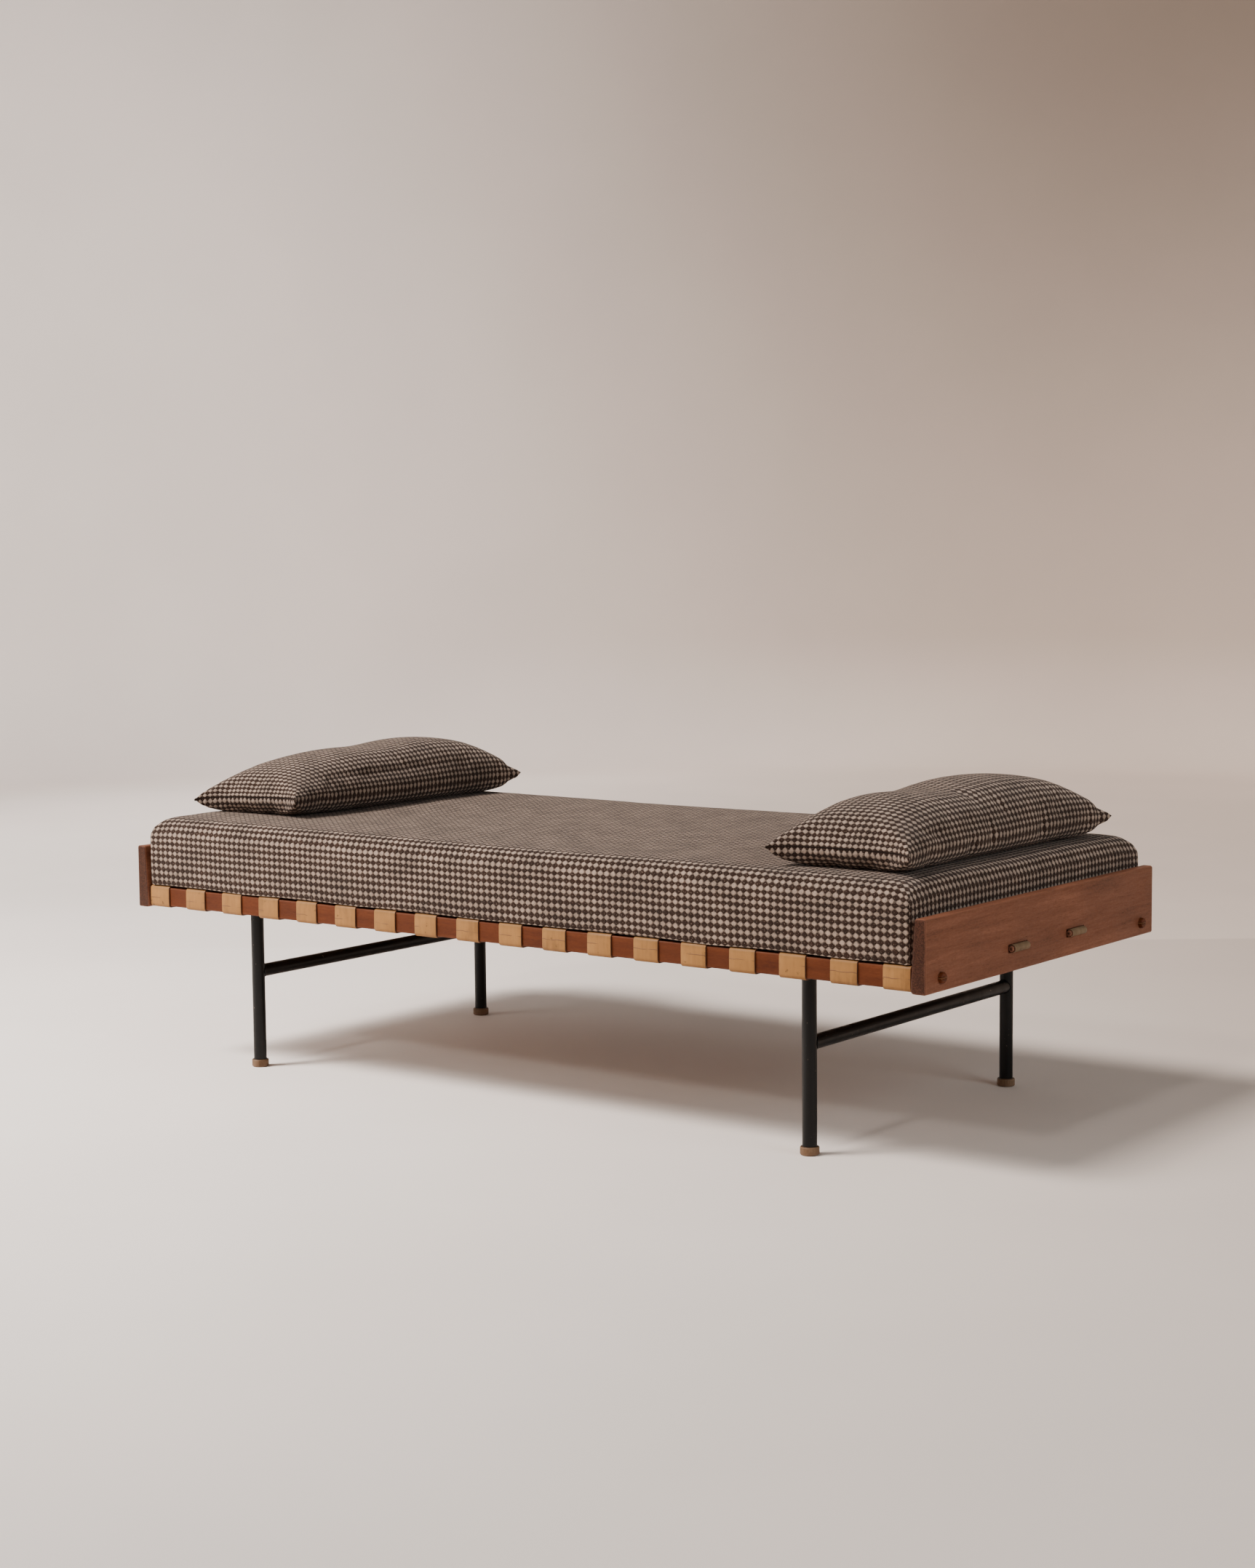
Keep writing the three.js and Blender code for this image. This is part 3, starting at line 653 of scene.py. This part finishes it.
# ---------- Small hardware: tacks under the rails and weld beads on the legs ----------
def tack_row(flank):
    """Two domed tacks through each strap's tail, under the rail."""
    radius, height, rings, sides = 0.0042, 0.0017, 4, 12
    vertices, faces = [], []
    base_z = RAIL_BOTTOM - STRAP_THICK - 0.0005
    for middle in strap_middles:
        for offset in (-0.017, 0.017):
            first = len(vertices)
            x, y = middle + offset, SIGN[flank] * (TAIL_Y + 0.008)
            for ring in range(rings):
                share = ring / rings * math.pi / 2
                reach, drop = radius * math.cos(share), height * math.sin(share)
                for k in range(sides):
                    angle = 2 * math.pi * k / sides
                    at_x, at_y = x + reach * math.cos(angle), y + reach * math.sin(angle)
                    vertices.append((at_x, at_y, base_z - drop))
            tip = len(vertices)
            vertices.append((x, y, base_z - height))
            faces += flipped(bands(sides, rings, first))
            faces += [(tip - sides + k, tip, tip - sides + (k + 1) % sides) for k in range(sides)]
            faces.append(tuple(range(first, first + sides)))
    piece = add_piece(f"strap_tacks_{flank}", vertices, faces, zinc)
    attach(piece, "frame")


def weld_beads(flank, side):
    """A bead round the cross bar's saddle joint, and one where the leg meets its plate."""
    corner = f"{flank}_{side}"
    low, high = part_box(f"leg_tube_{corner}")
    x, y = (low.x + high.x) / 2, (low.y + high.y) / 2
    radius = (high.x - low.x) / 2
    bar_low, bar_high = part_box(f"stretcher_{side}")
    bar_z = (bar_low.z + bar_high.z) / 2
    count = 72
    turns = 2 * math.pi * np.arange(count) / count
    ripple = 0.0011 + 0.0002 * np.sin(turns * 18) + 0.0001 * (rng.random(count) - 0.5)
    reach = radius + 0.0002
    saddle_x = reach * np.cos(turns)
    inward = -SIGN[flank] * np.sqrt(np.maximum((radius + 0.001) ** 2 - (0.96 * saddle_x) ** 2, 0))
    saddle = np.stack([x + saddle_x, y + inward, bar_z + reach * np.sin(turns)], 1)
    bead = sweep_tube(f"weld_bar_{corner}", saddle, ripple, steel, 8, True)
    ring_z = high.z - 0.0012
    ring = np.stack([x + reach * np.cos(turns), y + reach * np.sin(turns), np.full(count, ring_z)], 1)
    cap = sweep_tube(f"weld_plate_{corner}", ring, ripple * 0.9, steel, 8, True)
    for piece in (bead, cap):
        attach(piece, "frame")


for flank in FLANKS:
    tack_row(flank)
    for side in SIDES:
        weld_beads(flank, side)


# ---------- Zips ----------
coil_nylon = thread("coil_nylon", (0.02, 0.012, 0.009))
TOOTH = 0.0013  # from one turn of the coil to the next


def add_zip(label, path, out, body):
    """A coil zip between two welts, with a puller at its start. out points away from the cloth."""
    length = run_along(path)
    marks = np.arange(0, length[-1], TOOTH)
    even = np.stack([np.interp(marks, length, path[:, axis]) for axis in range(3)], 1)
    out = np.array(out, float)
    up = np.array((0.0, 0.0, 1.0))
    swing = np.where(np.arange(len(even)) % 2 == 0, 1, -1)[:, None]
    coil = even + swing * up * 0.0012 + out * 0.0002
    parts = [sweep_tube(f"{label}_zip_coil", coil, 0.0005, coil_nylon, 5)]
    for word, way in (("low", -1), ("high", 1)):
        welt = even[::4] + way * up * 0.0028 - out * 0.0002
        parts.append(sweep_tube(f"{label}_zip_welt_{word}", welt, 0.0010, coil_nylon, 8))
    ahead = (even[4] - even[0]) / np.linalg.norm(even[4] - even[0])
    centre = even[3] + out * 0.0012
    outline = ((-0.0045, 0.0016), (-0.0025, 0.0030), (0.0020, 0.0034), (0.0045, 0.0020))
    rings = [(0.75, -0.0010), (1.0, -0.0004), (1.0, 0.0006), (0.72, 0.0014)]
    around = [*outline, *((a, -w) for a, w in outline[::-1])]
    vertices = [
        centre + ahead * a * size + up * w * size + out * rise for size, rise in rings for a, w in around
    ]
    faces = bands(len(around), len(rings)) + end_caps(len(around), len(rings))
    parts.append(add_piece(f"{label}_zip_slider", vertices, faces, zinc, smooth=False))
    turns = np.linspace(0, 2 * math.pi, 24, endpoint=False)
    tab = centre + out * 0.0019 - up * 0.0065
    loop = [
        tab + up * 0.0075 * math.copysign(abs(math.sin(t)) ** 0.6, math.sin(t))
        + ahead * 0.0024 * math.copysign(abs(math.cos(t)) ** 0.6, math.cos(t))
        for t in turns
    ]
    parts.append(sweep_tube(f"{label}_zip_pull", loop, 0.0006, zinc, 8, closed=True))
    for part in parts:
        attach(part, body)


# ---------- Mattress ----------
wool = checked_wool("checked_wool")


def graded(half, fine, coarse, edge):
    """Symmetric places from -half to half, closer together near both ends."""
    near = np.arange(0, edge + 1e-9, fine)
    count = max(2, round((half - edge) / coarse))
    positive = np.concatenate([np.linspace(0, half - edge, count + 1), half - near[::-1][1:]])
    return np.concatenate([-positive[::-1], positive[1:]])


def add_mattress():
    low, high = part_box("mattress_cover")
    a, b = (high.x - low.x) / 2, (high.y - low.y) / 2
    bottom, top = low.z + 0.0006, high.z - 0.002
    height = top - bottom
    top_round, bottom_round, corner_round = 0.032, 0.007, 0.010
    fine, coarse = 0.0052, 0.0155
    xs, ys = graded(a, fine, coarse, top_round), graded(b, fine, coarse, top_round)
    over_edge = fine * np.arange(7)
    down_side = np.linspace(over_edge[-1], height - 0.013, 8)[1:]
    levels = np.concatenate([over_edge, down_side, height - np.array([0.0087, 0.0043, 0.0])])

    def place(x, y, depth):
        dx, dy = a - abs(x), b - abs(y)
        level = depth <= 0 or depth >= height - 1e-9
        radius = top_round if depth < height / 2 else bottom_round
        down = min(depth, height - depth)
        px, py = (max(0.0, radius - d) / radius for d in (dx, dy))
        flat_angle = math.atan(min(math.hypot(px, py), 1.3))
        if level:
            angle, ease = flat_angle, 0.0
        else:
            ease = 1 - max(0.0, radius - down) / radius
            side = math.pi / 2 - math.atan(max(0.0, radius - down) / radius)
            angle = flat_angle + (math.pi / 2 - flat_angle) * (side - math.pi / 4) / (math.pi / 4)
        drop = radius * (1 - math.cos(angle))
        drop = drop if down < radius else down
        inset = radius * (1 - math.sin(angle)) if down < radius else 0.0

        def pulled(distance):
            if distance >= radius:
                return distance
            own = radius * (1 - math.sin(math.atan((radius - distance) / radius)))
            return own * (1 - ease) + max(distance, inset) * ease

        nx, ny = a - pulled(dx), b - pulled(dy)
        cx, cy = a - corner_round, b - corner_round
        wx, wy = max(0.0, nx - cx), max(0.0, ny - cy)
        if wx > 0 and wy > 0:
            scale = max(wx, wy) / math.hypot(wx, wy)
            nx, ny = cx + wx * scale, cy + wy * scale
        z = top - drop if depth < height / 2 else bottom + drop
        return math.copysign(nx, x), math.copysign(ny, y), z

    def level_measure(value, half):
        """How far a place on top is from the middle, along the cloth and into the rounded edge."""
        past = abs(value) - (half - top_round)
        if past <= 0:
            return value
        return math.copysign(half - top_round + top_round * math.atan(past / top_round), value)

    def side_measure(depth, half):
        """The same for a place that far down a side."""
        turned_by = math.pi / 2 - math.atan(max(0.0, top_round - depth) / top_round)
        return half - top_round + top_round * turned_by + max(0.0, depth - top_round)

    top_x, top_y = [level_measure(x, a) for x in xs], [level_measure(y, b) for y in ys]
    side_x, side_y = ([side_measure(depth, half) for depth in levels] for half in (a, b))
    vertices, index, faces, cloth = [], {}, [], []

    def vertex(i, j, k):
        if (i, j, k) not in index:
            index[i, j, k] = len(vertices)
            vertices.append(place(xs[i], ys[j], levels[k]))
        return index[i, j, k]

    def top_cloth(i, j, k):
        return top_x[i], top_y[j], 1

    def flank_cloth(i, j, k):
        return xs[i] if k else top_x[i], side_y[k] if j else -side_y[k], 1

    def end_cloth(i, j, k):
        return side_x[k] if i else -side_x[k], ys[j] if k else top_y[j], 1

    def add_quad(spot, first, second, reverse, cloth_at):
        """A quad from one grid place to the places a step away in two directions."""
        ring = [tuple(corner) for corner in (spot, spot + first, spot + first + second, spot + second)]
        ring = ring[::-1] if reverse else ring
        faces.append([vertex(*corner) for corner in ring])
        cloth.extend(cloth_at(*corner) for corner in ring)

    to_x, to_y, to_z = np.eye(3, dtype=int)
    nx, ny, nz = len(xs) - 1, len(ys) - 1, len(levels) - 1
    for k in (0, nz):
        for i in range(nx):
            for j in range(ny):
                add_quad((i, j, k), to_x, to_y, k == nz, top_cloth)
    for k in range(nz):
        for i in range(nx):
            for j in (0, ny):
                add_quad((i, j, k), to_z, to_x, j == ny, flank_cloth)
        for j in range(ny):
            for i in (0, nx):
                add_quad((i, j, k), to_z, to_y, i == 0, end_cloth)
    piece = add_piece("mattress_pad", vertices, faces, wool)
    set_vectors(piece, "cloth", cloth, "CORNER")
    puff_up(piece, 3.0, 12, 0.004, stiffness=40.0, bending=2.0)
    co = points_of(piece.data)
    on_top = np.clip((co[:, 2] - bottom) / height, 0, 1)
    sag = np.cos(co[:, 0] / a * math.pi / 2) * np.cos(co[:, 1] / b * math.pi / 2)
    co[:, 2] -= 0.003 * sag * on_top
    for x, y, phase in ((0.31, 0.9, 0.4), (0.83, -0.6, 1.9), (-0.47, 1.3, 3.1)):
        on_flank = np.sign(co[:, 1]) * (np.abs(co[:, 1]) / b) ** 8
        co[:, 2] += 0.0007 * np.sin(co[:, 0] * 9 * x + co[:, 1] * 11 * y + phase) * on_top
        co[:, 1] += 0.0006 * np.sin(co[:, 0] * 17 * y + phase) * on_flank
    co[:, 2] = np.maximum(co[:, 2], bottom)
    to_corner = np.hypot(a - np.abs(co[:, 0]), b - np.abs(co[:, 1]))
    co[:, 2] -= 0.009 * np.exp(-((to_corner / 0.045) ** 2)) * on_top**4
    above = np.clip((co[:, 2] - bottom) / 0.06, 0, 1)
    strap_face = RAIL_OUT + 0.0025
    overhang = np.clip((np.abs(co[:, 1]) - strap_face) / 0.0022, 0, 1)
    co[:, 1] -= 0.003 * np.sign(co[:, 1]) * overhang * (1 - above) ** 2
    co[:, 2] -= 0.0068 * overhang * (1 - above) ** 1.5
    far = np.clip(co[:, 1] / b, 0, 1) ** 3
    co[:, 1] += 0.005 * far * np.sin(math.pi * np.clip((co[:, 2] - bottom) / height, 0, 1))
    co[:, 0] += 0.004 * np.sign(co[:, 0]) * far * np.clip((np.abs(co[:, 0]) - a + 0.05) / 0.05, 0, 1)
    move_points(piece.data, co)
    subdivide(piece)
    co = points_of(piece.data)
    rear = co[(np.abs(co[:, 2] - bottom - height / 2) < 0.004) & (co[:, 1] > 0.3)]
    rear = rear[np.argsort(rear[:, 0])]
    across = np.linspace(-0.45, 0.45, 300)
    behind = np.interp(across, rear[:, 0], rear[:, 1])
    path = np.stack([across, behind, np.full_like(across, bottom + height / 2)], 1)
    add_zip("mattress", path, (0, 1, 0), "mattress")
    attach(piece, "mattress")
    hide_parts("mattress_cover", "mattress_core")


add_mattress()

# ---------- Pillows ----------
FLAT_WIDTH, FLAT_LENGTH = 0.350, 0.800
HALF_WIDTH, HALF_LENGTH = 0.147, 0.378
CROWN, SEAM = 0.092, 0.042  # heights of the top above the seam, and of the seam above the mattress
CLOTH_WIDTH, CLOTH_LENGTH = 26 * CHECK_ACROSS, 59 * CHECK_ALONG  # of one side, in whole checks
seam_thread = thread("seam_thread", (0.018, 0.0095, 0.0065))
flat_u, flat_v = (graded(size / 2, 0.0028, 0.0085, 0.0084) for size in (FLAT_WIDTH, FLAT_LENGTH))
nu, nv = len(flat_u) - 1, len(flat_v) - 1


def arch(share, reach, height, power, root):
    """Where the points of a sheet go across a pillow: places and heights from 0 to 1, evenly
    spaced along the curve height * (1 - |x| ** power) ** (1 / root)."""
    x = np.sin(np.linspace(0, math.pi / 2, 600))
    z = (1 - x**power) ** (1 / root)
    length = run_along(np.stack([x * reach, z * height], 1))
    want = np.abs(share) * length[-1]
    return np.sign(share) * np.interp(want, length, x), np.interp(want, length, z)


def measure(sheet):
    """Distance along the first direction of a grid of points, from its middle out: the share of
    each line's half, and the length of the halves."""
    step = np.linalg.norm(np.diff(sheet, axis=0), axis=2)
    walk = np.concatenate([np.zeros((1, sheet.shape[1])), np.cumsum(step, axis=0)])
    walk -= walk[sheet.shape[0] // 2]
    half = np.where(walk < 0, -walk[0], walk[-1])
    return walk / np.maximum(half, 1e-9), half


def cloth_share(top, bottom):
    """Shares of the cloth from the middle to the fold, with the same scale on both sides of it."""
    top_share, top_half = measure(top)
    bottom_share, bottom_half = measure(bottom)
    ratio = bottom_half / np.maximum(top_half, 1e-9)
    from_fold = 1 - np.abs(bottom_share)
    size = 1 - ratio * from_fold - (1 - ratio) * from_fold**2
    return top_share, np.sign(bottom_share) * size


def sew_sheets():
    """A filled pillow as two sheets, 1 above and -1 below, that share their rim: the number of
    each grid point, then for each point its place, its place in the flat cloth, and its share
    of the width and of the length with its sheet."""
    ax, az = arch(flat_u / flat_u[-1], HALF_WIDTH, CROWN, 2.3, 1.9)
    by, bz = arch(flat_v / flat_v[-1], HALF_LENGTH, CROWN, 3.0, 1.75)
    swell = az[:, None] * bz[None, :]
    x = HALF_WIDTH * ax[:, None] * (1 - 0.045 * (1 - np.abs(by[None, :]) ** 4))
    y = HALF_LENGTH * by[None, :] * (1 - 0.04 * (1 - np.abs(ax[:, None]) ** 3))
    heights = {1: CROWN * swell, -1: -SEAM * (1 - (1 - np.minimum(1, 1.25 * swell)) ** 2.2)}
    number = {up: np.zeros((nu + 1, nv + 1), int) for up in heights}
    vertices, flat, share = [], [], []
    for up, height in heights.items():
        for i, u in enumerate(flat_u):
            for j, v in enumerate(flat_v):
                rim = i in (0, nu) or j in (0, nv)
                if rim and up < 0:
                    number[up][i, j] = number[1][i, j]
                    continue
                number[up][i, j] = len(vertices)
                inward = min(flat_u[-1] - abs(u), flat_v[-1] - abs(v))
                vertices.append((x[i, j], y[i, j], 0.0 if rim else height[i, j]))
                flat.append((u, v, up * 0.003 * min(1, inward / 0.03)))
                share.append((u / flat_u[-1], v / flat_v[-1], 0 if rim else up))
    return number, vertices, flat, share


def lay_cloth(piece, number, rings):
    """Cloth coordinates measured over the filled shape, for each corner of each face."""
    co = points_of(piece.data)
    above, below = co[number[1]], co[number[-1]]
    u_share = dict(zip((1, -1), cloth_share(above, below)))
    v_share = dict(zip((1, -1), cloth_share(above.transpose(1, 0, 2), below.transpose(1, 0, 2))))
    from_seam = np.minimum.outer(flat_u + flat_u[-1], flat_v[-1] - np.abs(flat_v))
    cloth = [
        (u_share[up][p, q] * CLOTH_WIDTH / 2, v_share[up][q, p] * CLOTH_LENGTH / 2, from_seam[p, q])
        for ring in rings for up, p, q in ring
    ]
    set_vectors(piece, "cloth", cloth, "CORNER")


def settle(co, share, tips, slump, dents):
    """The filled shape brought to its heights and tips, leaning along its length by slump. A
    dent is its place, width, length and depth."""
    u, v, layer = share.T
    co[:, 2] -= co[np.abs(layer) < 0.01, 2].mean()
    rising = co[:, 2] > 0
    tilt = 1 + slump * v
    co[rising, 2] *= (tilt * CROWN)[rising] / (tilt * co[:, 2]).max()
    deep = np.clip(co[:, 2] / co[:, 2].min(), 0, 1)
    co[~rising, 2] = -SEAM * ((1 - np.exp(-2.1 * deep)) / (1 - math.exp(-2.1)))[~rising]
    co[:, 2] += SEAM
    for (sign_u, sign_v), target in tips.items():
        tip = int(np.argmax(sign_u * u + sign_v * v))
        share_here = (1 + sign_u * u) * (1 + sign_v * v) / 4
        co[:, :2] += share_here[:, None] * (np.array(target[:2]) - co[tip, :2])
        lift = share_here * np.abs(v) ** 3 * (np.abs(u) ** 2 * 0.3 + 0.7)
        co[:, 2] += lift * (target[2] - SEAM)
    for at_x, at_y, wide, long, depth in dents:
        fall = np.exp(-(((co[:, 0] - at_x) / wide) ** 2) - ((co[:, 1] - at_y) / long) ** 2)
        co[:, 2] -= depth * fall * np.clip((co[:, 2] - SEAM) / CROWN, 0, 1)
    return co


def pressed_in(co, share, creases):
    """How far each point goes in along its normal: the necks behind the far tips, the creases,
    the gathers at the ends and the groove of the seam. A crease is its two ends, width and depth."""
    u, v, _ = share.T
    inward = np.zeros(len(co))
    for sign_u in (-1, 1):
        from_tip = np.linalg.norm(co - co[np.argmax(sign_u * u + v)], axis=1)
        inward += 0.0045 * np.exp(-(((from_tip - 0.034) / 0.013) ** 2))
    for start, end, width, depth in creases:
        start, end = np.array(start), np.array(end)
        along = np.clip(((co - start) @ (end - start)) / ((end - start) @ (end - start)), 0, 1)
        gap = np.linalg.norm(co - start - along[:, None] * (end - start), axis=1)
        inward += depth * np.exp(-((gap / width) ** 2)) * np.sin(np.clip(along, 0.02, 0.98) * math.pi)
    to_end = (1 - np.abs(v)) * HALF_LENGTH
    gathers = np.sin(u * 46 + 1.3 * np.sin(u * 9)) + 0.6 * np.sin(u * 83 + 2)
    inward += 0.0011 * gathers * np.exp(-to_end / 0.022) * np.clip(to_end / 0.006, 0, 1)
    groove = np.exp(-to_end / 0.003) + np.exp(-(1 + u) * HALF_WIDTH / 0.003)
    at_tips = np.clip((np.abs(u) + np.abs(v) - 1.9) / 0.1, 0, 1)
    return inward + 0.0016 * np.minimum(groove, 1) * (1 - 0.6 * at_tips)


def add_pillow(side, tips, slump, dents, creases):
    """tips gives, for each corner, its place in the pillow's own plan and its height."""
    body = f"pillow_{side}"
    low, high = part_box(f"pillow_cover_{side}")
    centre = (low + high) / 2
    number, vertices, flat, share = sew_sheets()
    rings = [
        [(up, p, q) for p, q in [(i, j), (i + 1, j), (i + 1, j + 1), (i, j + 1)][::up]]
        for up in number for i in range(nu) for j in range(nv)
    ]
    faces = [[int(number[up][p, q]) for up, p, q in ring] for ring in rings]
    piece = add_piece(body, vertices, faces, wool)
    set_vectors(piece, "share", share, "POINT")
    puff_up(piece, 6.0, 18, 0.02, stiffness=18.0, bending=0.15, rest=flat)
    lay_cloth(piece, number, rings)
    subdivide(piece)

    share = np.zeros(len(piece.data.vertices) * 3)
    piece.data.attributes["share"].data.foreach_get("vector", share)
    share = share.reshape(-1, 3)
    co = settle(points_of(piece.data), share, tips, slump, dents)
    move_points(piece.data, co)
    normal = np.zeros(len(co) * 3)
    piece.data.vertices.foreach_get("normal", normal)
    co -= normal.reshape(-1, 3) * pressed_in(co, share, creases)[:, None]
    co[:, 2] = np.maximum(co[:, 2], 0.0002)
    co += np.array([centre.x, centre.y, low.z])
    move_points(piece.data, co)
    piece.data.attributes.remove(piece.data.attributes["share"])

    sewn = [(i, 0) for i in range(nu, 0, -1)]
    sewn += [(0, j) for j in range(nv)] + [(i, nv) for i in range(nu + 1)]
    path = co[[int(number[1][i, j]) for i, j in sewn]]
    path = path[np.concatenate([[True], np.linalg.norm(np.diff(path, axis=0), axis=1) > 0.001])]
    seam = sweep_tube(f"pillow_seam_{side}", path, 0.0011, seam_thread, 6)
    opening = co[[int(number[1][0, j]) for j in range(nv + 1) if abs(flat_v[j]) < 0.23]]
    add_zip(body, opening, (-1, 0, 0), body)
    for item in (piece, seam):
        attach(item, body)
    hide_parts(f"pillow_cover_{side}", f"pillow_insert_{side}")


LEFT_TIPS = {
    (-1, -1): (-0.145, -0.371, 0.029),
    (1, -1): (0.149, -0.361, 0.048),
    (1, 1): (0.157, 0.373, 0.046),
    (-1, 1): (-0.145, 0.373, 0.040),
}
RIGHT_TIPS = {
    (-1, -1): (-0.148, -0.380, 0.038),
    (1, -1): (0.146, -0.371, 0.039),
    (1, 1): (0.149, 0.379, 0.042),
    (-1, 1): (-0.146, 0.376, 0.042),
}
LEFT_CREASES = [
    ((0.12, -0.33, 0.078), (0.130, 0.24, 0.086), 0.011, 0.005),
    ((0.145, -0.36, 0.048), (0.150, 0.34, 0.058), 0.010, -0.0035),
    ((0.04, 0.07, 0.13), (0.142, 0.10, 0.03), 0.012, 0.007),
]
RIGHT_CREASES = [
    ((0.03, -0.17, 0.115), (0.142, -0.11, 0.01), 0.015, 0.013),
    ((0.05, -0.06, 0.135), (0.150, -0.045, 0.01), 0.013, 0.010),
    ((0.06, 0.17, 0.12), (0.150, 0.13, 0.01), 0.015, 0.011),
    ((0.12, -0.30, 0.07), (0.145, -0.14, 0.06), 0.009, 0.005),
]
add_pillow("left", LEFT_TIPS, 0.21, [(-0.02, 0.02, 0.16, 0.08, 0.006)], LEFT_CREASES)
add_pillow("right", RIGHT_TIPS, 0.06, [(-0.03, -0.08, 0.15, 0.08, 0.011)], RIGHT_CREASES)


# ---------- Floor, backdrop and light ----------
def add_backdrop():
    """A pale floor that curves up into a round wall, far enough away for every view."""
    floor_radius, cove, wall_top, sides = 7.5, 0.6, 5.0, 96
    profile_points = [(r, 0.0) for r in (0.0, 1.0, 2.0, 4.0, floor_radius - cove)]
    for k in range(1, 9):
        angle = k / 8 * math.pi / 2
        profile_points.append((floor_radius - cove + cove * math.sin(angle), cove * (1 - math.cos(angle))))
    profile_points.append((floor_radius, wall_top))
    vertices = [(0.0, 0.0, 0.0)]
    for r, z in profile_points[1:]:
        for k in range(sides):
            angle = 2 * math.pi * k / sides
            vertices.append((r * math.cos(angle), r * math.sin(angle), z))
    faces = [(0, 1 + k, 1 + (k + 1) % sides) for k in range(sides)]
    faces += flipped(bands(sides, len(profile_points) - 1, first=1))
    f = Finish("backdrop_paint_and_painted_light", Specular_IOR_Level=0.2)
    place = f.place()
    x, y, z = f.split(place)
    depth = f.plus(f.times(x, -math.sin(YAW)), f.times(y, math.cos(YAW)))
    cloudy = f.noise(place, 1.3, 3.0, 0.5)
    across = f.plus(f.times(x, math.cos(YAW)), f.times(y, math.sin(YAW)))
    # Painted light: the floor and wall tones darken towards the right across the main camera's view, a
    # painted falloff of the light from the left.
    floor_tone_and_painted_falloff = f.mix(f.between(across, -1.7, 2.3), (0.90, 0.82, 0.765), (0.50, 0.405, 0.345))
    wall_tone_and_painted_falloff = f.mix(f.between(across, -2.5, 2.5), (0.92, 0.84, 0.79), (0.60, 0.49, 0.42))
    # Painted shade: the wall darkens further towards its top and right.
    painted_wall_shade = f.times(f.between(z, 0.3, 3.8), f.between(across, -1.5, 3.2))
    wall_tone_and_painted_falloff = f.mix(painted_wall_shade, wall_tone_and_painted_falloff, (0.25, 0.19, 0.15))
    far = f.between(depth, 1.70, 1.74)
    far = f.math("MAXIMUM", far, f.between(z, 0.02, 0.3))
    mottle = f.between(cloudy, 0.3, 0.7, 0.98, 1.02)
    colour = f.shaded(f.mix(far, floor_tone_and_painted_falloff, wall_tone_and_painted_falloff), mottle)
    scuffs = f.noise(place, 40.0, 4.0, 0.6)
    backdrop = add_piece("backdrop", vertices, faces, f.finish(colour, 0.8, f.bump(scuffs, 0.001, 0.15)))


def add_light(kind, name, place, aim, power, colour, **settings):
    lamp = bpy.data.lights.new(name, kind)
    lamp.energy = power
    lamp.color = colour
    for key, value in settings.items():
        setattr(lamp, key, value)
    light = bpy.data.objects.new(name, lamp)
    light.location = place
    light.rotation_mode = "QUATERNION"
    light.rotation_quaternion = (Vector(aim) - Vector(place)).to_track_quat("-Z", "Y")
    bpy.context.scene.collection.objects.link(light)


add_backdrop()
KEY_FROM = Vector((-0.45, -0.60, 1.0)).normalized() * 10
LOW_FROM = Vector((0.0, -1.31, 1.0)).normalized() * 8
WARM = (1.0, 0.96, 0.92)
add_light("SUN", "key", KEY_FROM, (0, 0, 0), 3.1, WARM, angle=0.31)
add_light("SUN", "low_front", LOW_FROM, (0, 0, 0), 0.55, WARM, angle=0.09)
add_light(
    "SPOT", "floor_wash", (-2.6, -3.0, 5.5), (-1.7, -1.2, 0.0), 1800.0, (1.0, 0.96, 0.93),
    spot_size=1.25, spot_blend=1.0, shadow_soft_size=0.8,
)
add_light("AREA", "front_fill", (-2.4, -2.2, 1.3), (-0.9, -0.4, 0.45), 40.0, WARM, size=1.6)
add_light("AREA", "right_fill", (4.6, -0.6, 2.0), (0.97, 0.0, 0.4), 80.0, (0.80, 0.94, 1.0), size=2.2)
add_light(
    "SPOT", "wall_wash", (-3.0, -1.0, 3.5), (-6.8, 3.0, 1.2), 1000.0, (1.0, 0.96, 0.94),
    spot_size=1.5, spot_blend=1.0, shadow_soft_size=0.8,
)
world = bpy.data.worlds.new("studio")
bpy.context.scene.world = world
world.use_nodes = True
sky = world.node_tree.nodes["Background"]
sky.inputs["Color"].default_value = (1.0, 0.97, 0.94, 1)
sky.inputs["Strength"].default_value = 0.22
